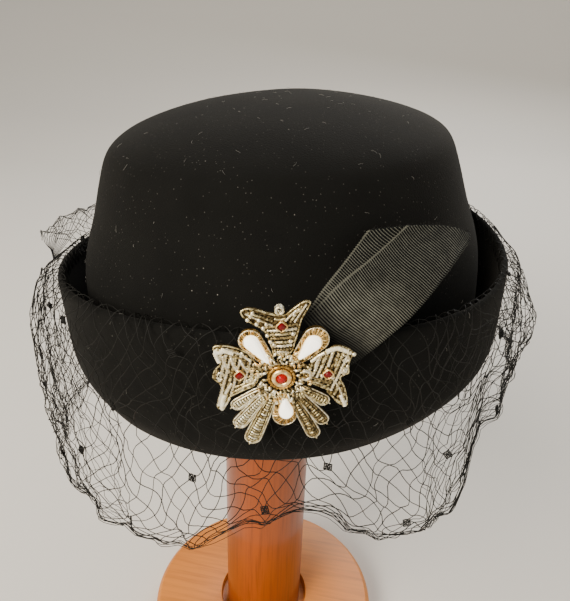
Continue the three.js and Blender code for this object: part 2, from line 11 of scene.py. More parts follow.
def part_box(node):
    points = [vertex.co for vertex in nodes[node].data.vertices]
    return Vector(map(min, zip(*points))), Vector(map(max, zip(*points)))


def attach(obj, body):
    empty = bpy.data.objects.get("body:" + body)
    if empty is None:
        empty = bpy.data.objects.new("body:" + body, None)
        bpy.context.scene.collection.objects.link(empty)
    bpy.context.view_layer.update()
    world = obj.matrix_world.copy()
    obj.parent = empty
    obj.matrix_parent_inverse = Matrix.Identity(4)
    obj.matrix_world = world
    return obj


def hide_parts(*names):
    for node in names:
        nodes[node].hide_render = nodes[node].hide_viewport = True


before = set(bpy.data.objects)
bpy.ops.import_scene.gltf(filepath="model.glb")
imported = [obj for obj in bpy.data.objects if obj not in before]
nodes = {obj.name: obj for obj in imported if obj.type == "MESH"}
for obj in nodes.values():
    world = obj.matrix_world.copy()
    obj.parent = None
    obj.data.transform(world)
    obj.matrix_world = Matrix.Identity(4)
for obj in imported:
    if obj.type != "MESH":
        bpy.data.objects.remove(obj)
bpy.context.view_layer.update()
print("frame loaded:", len(nodes), "nodes")

# The values below are in millimetres and degrees. This turns them to metres.
mm = 0.001

# Where the hat sits on its stand: the middle of its lower fold, and how it leans.
seat = {"right": 10.1, "front": 3.9, "height": 222.2, "leanBack": 0.017, "leanLeft": 0.058}
hatPlace = (
    Matrix.Translation(Vector((seat["right"], -seat["front"], seat["height"])) * mm)
    @ Matrix.Rotation(seat["leanBack"], 4, "X")
    @ Matrix.Rotation(-seat["leanLeft"], 4, "Y")
    @ Matrix.Scale(mm, 4)
)


# Colour from an sRGB hex value, as linear light
def colour(code):
    shares = [int(code[i:i + 2], 16) / 255 for i in (1, 3, 5)]
    return (*(c / 12.92 if c <= 0.04045 else ((c + 0.055) / 1.055) ** 2.4 for c in shares), 1)


# Adds a node, with its settings, and a value or a link for each named input
def addNode(tree, kind, settings=None, inputs=None):
    node = tree.nodes.new("ShaderNode" + kind)
    for name, value in (settings or {}).items():
        setattr(node, name, value)
    for name, value in (inputs or {}).items():
        if isinstance(value, bpy.types.NodeSocket):
            tree.links.new(value, node.inputs[name])
        else:
            node.inputs[name].default_value = value
    return node


# A material with its shader joined to the output
def startMaterial(name, values):
    material = bpy.data.materials.new(name)
    material.use_nodes = True
    tree = material.node_tree
    tree.nodes.clear()
    shader = addNode(tree, "BsdfPrincipled", inputs=values)
    addNode(tree, "OutputMaterial", inputs={"Surface": shader.outputs[0]})
    return material, tree, shader


mixA, mixB, mixResult = 6, 7, 2  # the colour sockets of a Mix node


# Mixes two colours by a factor
def mixColours(tree, factor, low, high):
    node = addNode(tree, "Mix", {"data_type": "RGBA"}, {0: factor, mixA: low, mixB: high})
    return node.outputs[mixResult]


# Smooth points through a few chosen ones, in steps of about the spacing given
def smoothPath(points, spacing, closed=False):
    points = [Vector(p) for p in points]
    count = len(points)
    if closed:
        around = [points[i % count] for i in range(-1, count + 2)]
    else:
        around = [points[0] * 2 - points[1], *points, points[-1] * 2 - points[-2]]
    path = []
    for p0, p1, p2, p3 in zip(around, around[1:], around[2:], around[3:]):
        t1 = math.sqrt((p1 - p0).length) + 1e-9
        t2 = t1 + math.sqrt((p2 - p1).length) + 1e-9
        t3 = t2 + math.sqrt((p3 - p2).length) + 1e-9
        steps = max(1, round((p2 - p1).length / spacing))
        for i in range(steps):
            t = t1 + (t2 - t1) * i / steps
            a1 = p0 * ((t1 - t) / t1) + p1 * (t / t1)
            a2 = p1 * ((t2 - t) / (t2 - t1)) + p2 * ((t - t1) / (t2 - t1))
            a3 = p2 * ((t3 - t) / (t3 - t2)) + p3 * ((t - t2) / (t3 - t2))
            b1 = a1 * ((t2 - t) / t2) + a2 * (t / t2)
            b2 = a2 * ((t3 - t) / (t3 - t1)) + a3 * ((t - t1) / (t3 - t1))
            path.append(b1 * ((t2 - t) / (t2 - t1)) + b2 * ((t - t1) / (t2 - t1)))
    if not closed:
        path.append(points[-1])
    return path


# A bmesh made into a piece: its place goes into the mesh, and its object stays at the origin
def addPiece(name, bm, place, materials, smooth=True):
    bmesh.ops.transform(bm, matrix=place, verts=bm.verts)
    mesh = bpy.data.meshes.new(name)
    for face in bm.faces:
        face.smooth = smooth
    bm.to_mesh(mesh)
    bm.free()
    for material in materials:
        mesh.materials.append(material)
    piece = bpy.data.objects.new(name, mesh)
    bpy.context.scene.collection.objects.link(piece)
    return piece


# A piece rides on the one body, and may stand for CAD nodes, which are then hidden; the slot's name is not
# used
def settle(piece, slotName, *standsFor):
    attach(piece, "root")
    if standsFor:
        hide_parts(*standsFor)
    return piece


# An empty bundle of threads or wires, whose radii are given point by point
def startStrands(name, materials, sides=4):
    curve = bpy.data.curves.new(name, "CURVE")
    curve.dimensions = "3D"
    curve.bevel_depth = 1
    curve.bevel_resolution = sides // 2 - 2
    curve.use_fill_caps = True
    for material in materials:
        curve.materials.append(material)
    return curve


# One strand through all of the points, with one radius or a list of them
def addStrand(curve, points, radius, closed=False, finish=0):
    spline = curve.splines.new("POLY")
    spline.points.add(len(points) - 1)
    radii = radius if isinstance(radius, list) else [radius] * len(points)
    for target, point, size in zip(spline.points, points, radii):
        target.co = (*point, 1)
        target.radius = size
    spline.use_cyclic_u = closed
    spline.use_smooth = True
    spline.material_index = finish


# Turns a bundle of strands to a mesh piece in its place
def strandsPiece(curve, place):
    name = curve.name
    holder = bpy.data.objects.new(name + "_line", curve)
    bpy.context.scene.collection.objects.link(holder)
    graph = bpy.context.evaluated_depsgraph_get()
    mesh = bpy.data.meshes.new_from_object(holder.evaluated_get(graph))
    bpy.data.objects.remove(holder)
    mesh.transform(place)
    mesh.name = name
    piece = bpy.data.objects.new(name, mesh)
    bpy.context.scene.collection.objects.link(piece)
    return piece


def lerp(low, high, share):
    return low + (high - low) * share


def smoothStep(value, low, high):
    share = min(1, max(0, (value - low) / (high - low)))
    return share * share * (3 - 2 * share)


# The camera stands where the photograph was taken from
camera = {
    "place": (56.8, -264.0, 363.06), "turn": 10.54, "lookDown": 25.9, "roll": 1.97,
    "focalPixels": 591, "imageHeight": 601, "sensor": 36,
}


def addCamera():
    data = bpy.data.cameras.new("camera")
    data.sensor_width = camera["sensor"]
    data.lens = camera["sensor"] * camera["focalPixels"] / camera["imageHeight"]
    data.clip_start = 0.01
    view = bpy.data.objects.new("camera", data)
    view.matrix_world = (
        Matrix.Translation(Vector(camera["place"]) * mm)
        @ Matrix.Rotation(math.radians(camera["turn"]), 4, "Z")
        @ Matrix.Rotation(math.radians(90 - camera["lookDown"]), 4, "X")
        @ Matrix.Rotation(math.radians(camera["roll"]), 4, "Z")
    )
    bpy.context.scene.collection.objects.link(view)
    bpy.context.scene.camera = view


addCamera()
print("camera set")

# A pale sweep: floor, a curve and a wall behind, in metres
studio = {
    "halfWidth": 5.0, "front": -3.0, "back": 1.1, "curve": 2.2, "height": 4.5,
    "floor": "#e4e0d8", "room": "#e6e3de", "roomStrength": 0.65,
}
lamps = {
    "key": {"place": (-0.9, -1.1, 1.5), "size": 1.0, "watts": 24, "tint": "#fff3e2"},
    "front": {"place": (-0.6, -1.45, 1.0), "size": 0.7, "watts": 26, "tint": "#fff6e8"},
    "fill": {"place": (1.3, -0.9, 0.8), "size": 1.2, "watts": 1, "tint": "#e8efff"},
    "back": {"place": (0.3, 1.3, 1.2), "size": 0.9, "watts": 14, "tint": "#ffffff"},
}


def addStudio():
    material, tree, shader = startMaterial("painted_board", {"Roughness": 0.9})
    # Pale matt paint, which gives the eye nothing but the shadow
    shader.inputs["Base Color"].default_value = colour(studio["floor"])
    bm = bmesh.new()
    outline = [(studio["front"], 0), (studio["back"], 0)]
    for step in range(1, 9):
        angle = math.radians(90 * step / 8)
        outline.append((
            studio["back"] + studio["curve"] * math.sin(angle),
            studio["curve"] * (1 - math.cos(angle)),
        ))
    outline.append((studio["back"] + studio["curve"], studio["height"]))
    verts = [bm.verts.new((-studio["halfWidth"], y, z)) for y, z in outline]
    edges = [bm.edges.new(pair) for pair in zip(verts, verts[1:])]
    swept = bmesh.ops.extrude_edge_only(bm, edges=edges)["geom"]
    moved = [v for v in swept if isinstance(v, bmesh.types.BMVert)]
    bmesh.ops.translate(bm, vec=(2 * studio["halfWidth"], 0, 0), verts=moved)
    bmesh.ops.recalc_face_normals(bm, faces=bm.faces)
    sweep = addPiece("studio_sweep", bm, Matrix.Identity(4), [material])
    aim = Vector((0.01, 0, 0.24))
    for name, lamp in lamps.items():
        data = bpy.data.lights.new(name, "AREA")
        data.shape = "SQUARE"
        data.size = lamp["size"]
        data.energy = lamp["watts"]
        data.color = colour(lamp["tint"])[:3]
        light = bpy.data.objects.new(name, data)
        light.location = lamp["place"]
        light.rotation_euler = (aim - light.location).to_track_quat("-Z", "Y").to_euler()
        bpy.context.scene.collection.objects.link(light)
    world = bpy.data.worlds.new("room")
    world.use_nodes = True
    sky = world.node_tree.nodes["Background"]
    sky.inputs["Color"].default_value = colour(studio["room"])
    sky.inputs["Strength"].default_value = studio["roomStrength"]
    bpy.context.scene.world = world


addStudio()
print("studio set")


# Fur felt, brushed: a matt black nap that drinks light, with a faint sheen and stray lint
def feltMaterial():
    material, tree, shader = startMaterial("brushed_fur_felt", {
        "Roughness": 0.95, "Specular IOR Level": 0.12,
        "Sheen Weight": 0.05, "Sheen Roughness": 0.4,
    })
    shader.inputs["Sheen Tint"].default_value = colour("#c9c4ba")
    coords = addNode(tree, "TexCoord").outputs["Object"]
    napScale, fibreScale, lintScale = 1 / 0.022, 1 / 0.0006, 1 / 0.0045
    nap = addNode(tree, "TexNoise", {}, {"Vector": coords, "Scale": napScale, "Detail": 4})
    fibre = addNode(tree, "TexNoise", {}, {"Vector": coords, "Scale": fibreScale, "Detail": 2})
    shade = mixColours(tree, nap.outputs[0], colour("#080807"), colour("#141412"))
    dots = addNode(tree, "TexVoronoi", {}, {"Vector": coords, "Scale": lintScale})
    near = addNode(tree, "MapRange", {}, {
        "Value": dots.outputs["Distance"], "From Min": 0.02, "From Max": 0.06,
        "To Min": 1, "To Max": 0,
    })
    pick = addNode(tree, "SeparateColor", {}, {"Color": dots.outputs["Color"]})
    chosen = addNode(tree, "MapRange", {}, {"Value": pick.outputs[0], "From Min": 0.45})
    lint = addNode(tree, "Math", {"operation": "MULTIPLY"}, {
        0: near.outputs[0], 1: chosen.outputs[0],
    })
    dusty = mixColours(tree, lint.outputs[0], shade, colour("#8d8a82"))
    fineDots = addNode(tree, "TexVoronoi", {}, {"Vector": coords, "Scale": 1 / 0.0019})
    fleck = addNode(tree, "MapRange", {}, {
        "Value": fineDots.outputs["Distance"], "From Min": 0.05, "From Max": 0.13,
        "To Min": 0.55, "To Max": 0,
    })
    flecked = mixColours(tree, fleck.outputs[0], dusty, colour("#5d5b55"))
    tree.links.new(flecked, shader.inputs["Base Color"])
    bump = addNode(tree, "Bump", {}, {
        "Height": fibre.outputs[0], "Strength": 0.5, "Distance": 0.0003,
    })
    tree.links.new(bump.outputs[0], shader.inputs["Normal"])
    return material


felt = {
    "wall": 2.5,
    "height": 110.6, "shoulderHeight": 93.3, "shoulderX": 71.9, "shoulderY": 84,
    "foldX": 91.7, "foldY": 104.1, "grooveFloor": 0.7,
    "bellyX": 98.9, "bellyY": 108.5,
    "rimX": 99.9, "rimY": 107.6, "rimHeight": 49.1, "rimDip": 5, "rimTwist": 1.5,
    "columns": 112, "rowStep": 3.2, "dents": 0.45, "dentWidth": 38,
}
foldRadius = (felt["wall"] + felt["grooveFloor"]) / 2
crownX = felt["foldX"] - 2 * foldRadius
crownY = felt["foldY"] - 2 * foldRadius

# The crown's tip: shares of the shoulder's half widths and of the rise above it
tipRows = [(0, 1), (0.22, 0.965), (0.43, 0.86), (0.64, 0.69), (0.82, 0.46), (0.94, 0.23)]
# The crown's side: shares of the shoulder's height and of the flare from shoulder to fold
sideRows = [(1, 0.02), (0.9, 0.24), (0.75, 0.5), (0.53, 0.9), (0.25, 0.98)]
# The cuff: share of the rim's height, and how far it has swelled to belly and rim
cuffRows = [(0.18, 0.68, 0), (0.3, 0.93, 0), (0.48, 1, 0), (0.75, 1, 0.55), (1, 1, 1)]


# Height of the rim above the fold: higher in front and behind than at the sides
def rimHeightAt(angle):
    dip, twist = felt["rimDip"], felt["rimTwist"]
    return felt["rimHeight"] - dip * math.cos(2 * angle) + twist * math.sin(2 * angle)


# Half widths of the crown's outer face at a height up to its shoulder
def crownAt(z):
    rows = [*sideRows, (0, 1)]
    share = z / felt["shoulderHeight"]
    for (up, flare), (nextUp, nextFlare) in zip(rows, rows[1:]):
        if share >= nextUp:
            break
    k = min(1, max(0, (up - share) / (up - nextUp)))
    spread = lerp(flare, nextFlare, k)
    return lerp(felt["shoulderX"], crownX, spread), lerp(felt["shoulderY"], crownY, spread)


def ellipsePoint(angle, x, y, z):
    return Vector((x * math.cos(angle), y * math.sin(angle), z))


# The middle of the felt's wall, from the tip down the crown, round the fold and up the cuff.
# Each section is half width, half depth, height and the share of the rim's rise and dip.
def feltSections():
    half = felt["wall"] / 2
    topX, topY, topZ = felt["shoulderX"], felt["shoulderY"], felt["shoulderHeight"]
    sections = []
    for spread, rise in tipRows:
        sections.append((
            spread * (topX - half), spread * (topY - half),
            lerp(topZ, felt["height"], rise) - half, 0,
        ))
    for up, flare in sideRows:
        sections.append((
            lerp(topX, crownX, flare) - half, lerp(topY, crownY, flare) - half,
            up * (topZ - half), 0,
        ))
    for turn in (180, 225, 270, 315, 360):
        inward = foldRadius * (1 - math.cos(math.radians(turn)))
        height = half + foldRadius * (1 + math.sin(math.radians(turn)))
        sections.append((felt["foldX"] - half - inward, felt["foldY"] - half - inward, height, 0))
    for up, belly, rim in cuffRows:
        x = lerp(felt["foldX"], felt["bellyX"], belly) + rim * (felt["rimX"] - felt["bellyX"])
        y = lerp(felt["foldY"], felt["bellyY"], belly) + rim * (felt["rimY"] - felt["bellyY"])
        sections.append((x - half, y - half, up * felt["rimHeight"], up))
    return sections


def makeFelt(material):
    path = smoothPath(feltSections(), felt["rowStep"])
    bm = bmesh.new()
    stretch = bm.verts.layers.float.new("stretch")
    lift = bm.verts.layers.float.new("lift")
    verts = []
    for x, y, z, share in path:
        vert = bm.verts.new((x, 0, z))
        vert[stretch] = y / x if x > 0.01 else 1
        vert[lift] = share
        verts.append(vert)
    edges = [bm.edges.new(pair) for pair in zip(verts, verts[1:])]
    bmesh.ops.spin(
        bm, geom=verts + edges, axis=(0, 0, 1), angle=2 * math.pi,
        steps=felt["columns"], use_merge=True,
    )
    bmesh.ops.remove_doubles(bm, verts=bm.verts, dist=0.005)
    for vert in bm.verts:
        angle = math.atan2(vert.co.y, vert.co.x)
        vert.co.y *= vert[stretch]
        vert.co.z += vert[lift] * (rimHeightAt(angle) - felt["rimHeight"])
    bmesh.ops.recalc_face_normals(bm, faces=bm.faces)
    bm.normal_update()
    for vert in bm.verts:
        dent = noise.noise(vert.co / felt["dentWidth"])
        vert.co += vert.normal * dent * felt["dents"]
    body = addPiece("felt_hat", bm, hatPlace, [material])
    wall = body.modifiers.new("wall", "SOLIDIFY")
    wall.thickness = felt["wall"] * mm
    wall.offset = 0
    soft = body.modifiers.new("soft", "SUBSURF")
    soft.levels = soft.render_levels = 1
    return settle(body, "felt", "felt_body")


hat = makeFelt(feltMaterial())
print("felt made")


# Stray hairs: pale grey fibre, barely glossy
def hairMaterial():
    material, tree, shader = startMaterial("stray_hair", {"Roughness": 0.6})
    coords = addNode(tree, "TexCoord").outputs["Object"]
    tone = addNode(tree, "TexNoise", {}, {"Vector": coords, "Scale": 1 / 0.01, "Detail": 1})
    shade = mixColours(tree, tone.outputs[0], colour("#3a3936"), colour("#a09d95"))
    tree.links.new(shade, shader.inputs["Base Color"])
    return material


hairs = {"count": 420, "radius": 0.045, "shortest": 0.5, "longest": 2.6, "lift": 0.25, "seed": 21}


# Hairs that cling to the felt, each bent along the surface that it lies on
def makeHairs(material):
    draw = random.Random(hairs["seed"])
    curve = startStrands("felt_hairs", [material])
    surface = hat.evaluated_get(bpy.context.evaluated_depsgraph_get()).to_mesh()
    faces = list(surface.polygons)
    for _ in range(hairs["count"]):
        face = draw.choice(faces)
        normal = face.normal
        foot = face.center / mm + normal * hairs["lift"]
        lean = Vector([draw.uniform(-1, 1) for _ in range(3)])
        along = (lean - normal * lean.dot(normal)).normalized()
        aside = along.cross(normal) * draw.uniform(-0.5, 0.5)
        length = draw.uniform(hairs["shortest"], hairs["longest"])
        points = [foot, foot + (along + aside * 0.3 + normal * 0.15) * length / 2,
                  foot + (along + aside) * length]
        addStrand(curve, smoothPath(points, length / 5), hairs["radius"])
    return settle(strandsPiece(curve, Matrix.Scale(mm, 4)), "felt")


makeHairs(hairMaterial())
print("hairs laid")


# Nylon veiling: fine black thread, slightly glossy, so single threads catch the light
def netMaterial():
    material, tree, shader = startMaterial("black_veiling_thread", {
        "Roughness": 0.55, "Specular IOR Level": 0.2,
    })
    coords = addNode(tree, "TexCoord").outputs["Object"]
    twist = addNode(tree, "TexNoise", {}, {"Vector": coords, "Scale": 1 / 0.002, "Detail": 2})
    shade = mixColours(tree, twist.outputs[0], colour("#090907"), colour("#191814"))
    tree.links.new(shade, shader.inputs["Base Color"])
    return material


net = {
    "clearance": 0.3, "wall": 1, "standOff": 2.2, "flare": 5,
    "puffLeft": 13, "leftAngle": -152, "leftShare": 5,
    "puffRight": 10, "rightAngle": -12, "rightShare": 8,
    "tuck": 6, "arch": 1.3, "hem": 38, "rightHem": 5, "riseFrom": -44, "riseTo": -32,
    "fallFrom": 60, "fallTo": 110,
    "notchShare": 0.71, "notchAngle": -75, "notchLeft": 20, "notchRight": 12,
    "cells": 104, "rows": 13, "flatWidth": 980, "flatLength": 122, "thread": 0.325, "steps": 3,
    "crumple": 2.1, "crumpleWidth": 17, "ruffle": 1.3, "ruffles": 26,
    "skewAcross": 0.95, "skewDown": 0.75, "skewCells": 1.8,
    "hemBunch": 0.2, "hemShare": 0.07, "hemThreads": 5, "hemThread": 0.24, "hemWander": 2.6,
    "folds": 1, "foldDepth": 0.4, "foldCut": 0.22, "foldThread": 0.2,
    "dotGap": 8, "dotRows": 6, "dotSize": 2.6, "dotBars": 5, "dotThread": 0.46,
}
# The net outside the cuff: shares of the rim's height, of the hem's drop, of both puffs and of
# the flare
netRows = [
    (0.92, 0, 0.55, 0.5, 0), (0.62, 0, 0.9, 0.95, 0), (0.3, 0, 1, 0.9, 0),
    (0, 0.12, 0.95, 0.45, 0.3), (0, 0.55, 0.75, 0.1, 0.8), (0, 1, 0.5, 0, 1),
]
# Places where the net is drawn together: the direction, the width and the pull, and the shares
# of the way down between which it happens
netGathers = [
    {"angle": -152, "width": 15, "pull": 0.72, "from": 0.55, "to": 0.8, "last": 1.2},
    {"angle": 198, "width": 10, "pull": 0.85, "from": 0.05, "to": 0.12, "last": 0.3},
    {"angle": -128, "width": 9, "pull": 0.5, "from": 0.6, "to": 0.85, "last": 1.2},
    {"angle": -48, "width": 12, "pull": 0.6, "from": 0.55, "to": 0.8, "last": 1.2},
    {"angle": -20, "width": 7, "pull": 0.5, "from": 0.3, "to": 0.5, "last": 1.2},
]


# Degrees from one direction to another, between -180 and 180
def degreesFrom(angle, start):
    return (math.degrees(angle) - start + 540) % 360 - 180


# How far the hem hangs below the fold
def hemDrop(angle):
    here, away = degreesFrom(angle, 0), degreesFrom(angle, net["notchAngle"])
    rise = smoothStep(here, net["riseFrom"], net["riseTo"])
    fall = smoothStep(here, net["fallFrom"], net["fallTo"])
    width = net["notchLeft"] if away < 0 else net["notchRight"]
    notch = net["notchShare"] * math.exp(-((away / width) ** 2))
    return lerp(net["hem"] * (1 - notch), net["rightHem"], rise * (1 - fall))


# Sections of the net at one angle, from its tucked edge over the rim and down to the hem
def netSections(angle, puffed=1):
    rim = rimHeightAt(angle)
    reach = felt["wall"] / 2 + net["clearance"] + net["wall"] / 2
    middleX, middleY = felt["rimX"] - felt["wall"] / 2, felt["rimY"] - felt["wall"] / 2
    sections = [(middleX - reach, middleY - reach, rim - net["tuck"])]
    for turn in (180, 120, 60, 0):
        out = reach * math.cos(math.radians(turn))
        up = net["clearance"] + reach * math.sin(math.radians(turn)) / net["arch"]
        sections.append((middleX + out, middleY + out, rim + up))
    left, right = (
        puffed * net[size] * max(0, math.cos(math.radians(degreesFrom(angle, net[place])))) ** net[share]
        for size, place, share in (
            ("puffLeft", "leftAngle", "leftShare"), ("puffRight", "rightAngle", "rightShare"))
    )
    hem = hemDrop(angle)
    for rimShare, hemShare, leftShare, rightShare, flareShare in netRows:
        out = net["standOff"] + left * leftShare + right * rightShare + net["flare"] * flareShare
        height = rimShare * rim - hemShare * hem
        sections.append((felt["bellyX"] + out, felt["bellyY"] + out, height))
    return [ellipsePoint(angle, *section) for section in sections]


# A point of the net from its place on the flat cut, as shares of its width and length
def netPoint(across, down, fold=0):
    round3 = Vector((math.cos(2 * math.pi * across), math.sin(2 * math.pi * across), 0))
    cell = round3 * net["cells"] / (2 * math.pi * net["skewCells"])
    cell.z = down * net["rows"] / net["skewCells"] + 31 * fold
    pulls = noise.noise_vector(cell)
    across += net["skewAcross"] * pulls.x / net["cells"]
    down = min(1, max(0, down + net["skewDown"] * pulls.y / net["rows"] * min(1, 6 * down)))
    angle = 2 * math.pi * across
    for gather in netGathers:
        away = degreesFrom(angle, gather["angle"])
        held = smoothStep(down, gather["from"], gather["to"])
        held *= 1 - smoothStep(down, gather["last"], gather["last"] + 0.1)
        pull = gather["pull"] * math.exp(-((away / gather["width"]) ** 2))
        angle -= math.radians(away) * pull * held
    sections = netSections(angle, 1 - net["foldDepth"] * fold)
    lengths = [(b - a).length for a, b in zip(sections, sections[1:])]
    bunch = net["hemBunch"]
    if down < 1 - bunch:
        share = down / (1 - bunch) * (1 - net["hemShare"])
    else:
        share = 1 - (1 - down) / bunch * net["hemShare"]
    left = share * sum(lengths)
    row = 0
    while row < len(lengths) - 1 and left > lengths[row]:
        left -= lengths[row]
        row += 1
    point = sections[row].lerp(sections[row + 1], min(1, left / lengths[row]))
    free = smoothStep(down, 0.16, 0.35)
    out = Vector((math.cos(angle), math.sin(angle), 0))
    place = point / net["crumpleWidth"] + Vector((0, 0, 13 * fold))
    crumple = noise.noise(place) + 0.5 * noise.noise(place * 2.7)
    ruffle = math.sin(net["ruffles"] * angle + 3 * crumple) * net["ruffle"]
    side = Vector((-out.y, out.x, 0)) * noise.noise(place * 1.7 + Vector((9, 2, 4)))
    rise = Vector((0, 0, noise.noise(place * 1.9 + Vector((1, 7, 3)))))
    point = point + out * (free * max(-1.2, crumple * net["crumple"] + ruffle))
    return point + (side + rise) * (free * net["crumple"] * 0.8)


# Two families of threads that cross at the knots of the net
def addThreads(curve, firstRow, inPuffs, fold, thread):
    columns, rows, steps = 2 * net["cells"], 2 * net["rows"], net["steps"]
    for slope in (1, -1):
        for start in range(0, columns, 2):
            points = []
            for i in range(firstRow * steps, rows * steps + 1):
                across, down = (start + slope * i / steps) / columns, i / steps / rows
                angle = 2 * math.pi * across
                puffed = max(
                    math.cos(math.radians(degreesFrom(angle, net["leftAngle"]))),
                    math.cos(math.radians(degreesFrom(angle, net["rightAngle"]))),
                )
                if not inPuffs or puffed > 1 - net["foldCut"]:
                    points.append(netPoint(across, down, fold))
                elif len(points) > 2:
                    break
                else:
                    points = []
            if len(points) > 2:
                addStrand(curve, points, thread / 2)


# Woven square dots, each a thread laid to and fro over a knot and crossed by a second one
def addDots(curve):
    columns, rows = 2 * net["cells"], 2 * net["rows"]
    bars, half = net["dotBars"], net["dotSize"] / 2
    for row in range(4, rows - 1, net["dotRows"]):
        shift = net["dotGap"] if row % (2 * net["dotRows"]) == 4 else 0
        for column in range(shift + row % 2, columns, 2 * net["dotGap"]):
            here = netPoint(column / columns, row / rows)
            along = (netPoint((column + 1) / columns, row / rows) - here).normalized()
            below = netPoint(column / columns, (row + 1) / rows) - here
            out = along.cross(below).normalized()
            down = out.cross(along)
            for first, second, lift in ((along, down, 0.12), (down, along, -0.12)):
                weave = []
                for bar in range(bars):
                    level = first * half * (2 * bar / (bars - 1) - 1) + out * lift
                    ends = (second * half, second * -half)
                    weave += [here + level + end for end in (ends if bar % 2 else ends[::-1])]
                addStrand(curve, weave, net["dotThread"] / 2)


# The threads of the hem, drawn into one loose bundle
def addHem(curve):
    for number in range(net["hemThreads"]):
        points = []
        for i in range(300):
            angle = 2 * math.pi * i / 300
            place = Vector((6 * math.cos(angle), 6 * math.sin(angle), 3 * number))
            wander = noise.noise_vector(place)
            point = netPoint(i / 300, 0.975 + 0.02 * wander.z)
            points.append(point + wander * net["hemWander"])
        addStrand(curve, points, net["hemThread"] / 2, closed=True)


# Loose net that stands up behind the rim: it comes out of the groove, and a pinch draws it in
tuft = {
    "from": 150, "to": 196, "rise": 19, "out": 20, "pinchAngle": 199, "pinchOut": 5,
    "threads": 15, "rows": 12, "lean": 0.5, "crumple": 3.6, "thread": 0.28,
}


def tuftPoint(across, down):
    angle = math.radians(lerp(tuft["from"], tuft["to"], across))
    inside = ellipsePoint(angle, felt["rimX"] - 5, felt["rimY"] - 5, rimHeightAt(angle) - 3)
    over = ellipsePoint(
        angle, felt["rimX"] + tuft["out"], felt["rimY"] + tuft["out"],
        rimHeightAt(angle) + tuft["rise"])
    held = math.radians(tuft["pinchAngle"])
    pinch = ellipsePoint(
        held, felt["rimX"] + tuft["pinchOut"], felt["rimY"] + tuft["pinchOut"],
        rimHeightAt(held) - 2 + 5 * across)
    point = inside.lerp(over, down).lerp(over.lerp(pinch, down), down)
    crumple = noise.noise_vector(point / 7) + noise.noise_vector(point / 2.6) * 0.4
    return point + crumple * (tuft["crumple"] * math.sin(math.pi * min(1, down + 0.08)))


def addTuft(curve):
    for slope in (1, -1):
        for thread in range(tuft["threads"]):
            points = []
            for i in range(tuft["rows"] * 2 + 1):
                down = i / (tuft["rows"] * 2)
                across = (thread + 0.5) / tuft["threads"] + slope * tuft["lean"] * down
                if 0 <= across <= 1:
                    points.append(tuftPoint(across, down))
            if len(points) > 2:
                addStrand(curve, points, tuft["thread"] / 2)


def makeNet(material):
    curve = startStrands("veil", [material])
    addThreads(curve, 0, False, 0, net["thread"])
    veil = strandsPiece(curve, hatPlace)
    settle(veil, "net", "veil_net")
    for name, fill in (("dots", addDots), ("hem", addHem), ("tuft", addTuft)):
        curve = startStrands(f"veil_{name}", [material])
        fill(curve)
        settle(strandsPiece(curve, hatPlace), "net")
    curve = startStrands("veil_folds", [material])
    for fold in range(1, net["folds"] + 1):
        addThreads(curve, 5, True, fold / net["folds"], net["foldThread"])
    settle(strandsPiece(curve, hatPlace), "net")
    return veil


veil = makeNet(netMaterial())
print("veil made")


# Grosgrain: black ribbed ribbon, with a painted highlight on the crests of its ribs that dust varies, a thin
# paler line along its left edge, and painted shade where each tail starts by the brooch.
# Its UV map is in millimetres: across the ribbon, then along it.
def ribbonMaterial():
    material, tree, shader = startMaterial("ribbed_grosgrain", {
        "Roughness": 0.75, "Specular IOR Level": 0.15,
    })
    cloth = addNode(tree, "TexCoord").outputs["UV"]
    bandScale = 2 * math.pi / 20  # of a wave texture with a period of 1
    ribs = addNode(tree, "TexWave", {"bands_direction": "Y"}, {
        "Vector": cloth, "Scale": bandScale / ribbon["ribPitch"], "Phase Offset": math.pi,
        "Distortion": 0.35, "Detail Scale": 0.6,
    })
    warps = addNode(tree, "TexWave", {"bands_direction": "X"}, {
        "Vector": cloth, "Scale": bandScale / ribbon["warpPitch"], "Distortion": 0.6,
    })
    dust = addNode(tree, "TexNoise", {}, {"Vector": cloth, "Scale": 0.3, "Detail": 5})
    # Painted highlight: the crests of the ribs are painted lighter, and the dust noise varies how much
    crest = addNode(tree, "MapRange", {}, {
        "Value": ribs.outputs[1], "From Min": 0.7, "From Max": 1,
    })
    crestHighlightAndDust = addNode(tree, "Math", {"operation": "MULTIPLY"}, {
        0: crest.outputs[0], 1: addNode(tree, "MapRange", {}, {
            "Value": dust.outputs[0], "From Min": 0.3, "From Max": 0.7, "To Min": 0.5,
        }).outputs[0],
    })
    sides = addNode(tree, "SeparateXYZ", {}, {"Vector": cloth})
    # A thin line along the left edge is painted paler; this joins the painted crest highlight
    selvedge = addNode(tree, "MapRange", {}, {
        "Value": sides.outputs[0], "From Min": 0.2, "From Max": 0.4, "To Min": 0.45, "To Max": 0,
    })
    crestHighlightAndPaleEdge = addNode(tree, "Math", {"operation": "MAXIMUM"}, {
        0: crestHighlightAndDust.outputs[0], 1: selvedge.outputs[0],
    })
    # Painted shade: the first millimetres of each tail, where it starts by the brooch, are painted darker
    pleatShade = addNode(tree, "MapRange", {}, {
        "Value": sides.outputs[1], "From Min": 2, "From Max": 9, "To Min": 0.15,
    })
    lit = addNode(tree, "Math", {"operation": "MULTIPLY"}, {
        0: crestHighlightAndPaleEdge.outputs[0], 1: pleatShade.outputs[0],
    })
    shade = mixColours(tree, lit.outputs[0], colour("#030303"), colour("#77776a"))
    tree.links.new(shade, shader.inputs["Base Color"])
    bump = addNode(tree, "Bump", {}, {
        "Height": warps.outputs[1], "Strength": 0.35, "Distance": 0.00012,
    })
    tree.links.new(bump.outputs[0], shader.inputs["Normal"])
    return material


broochHeight = 44.4  # of the brooch's middle, above the hat's fold

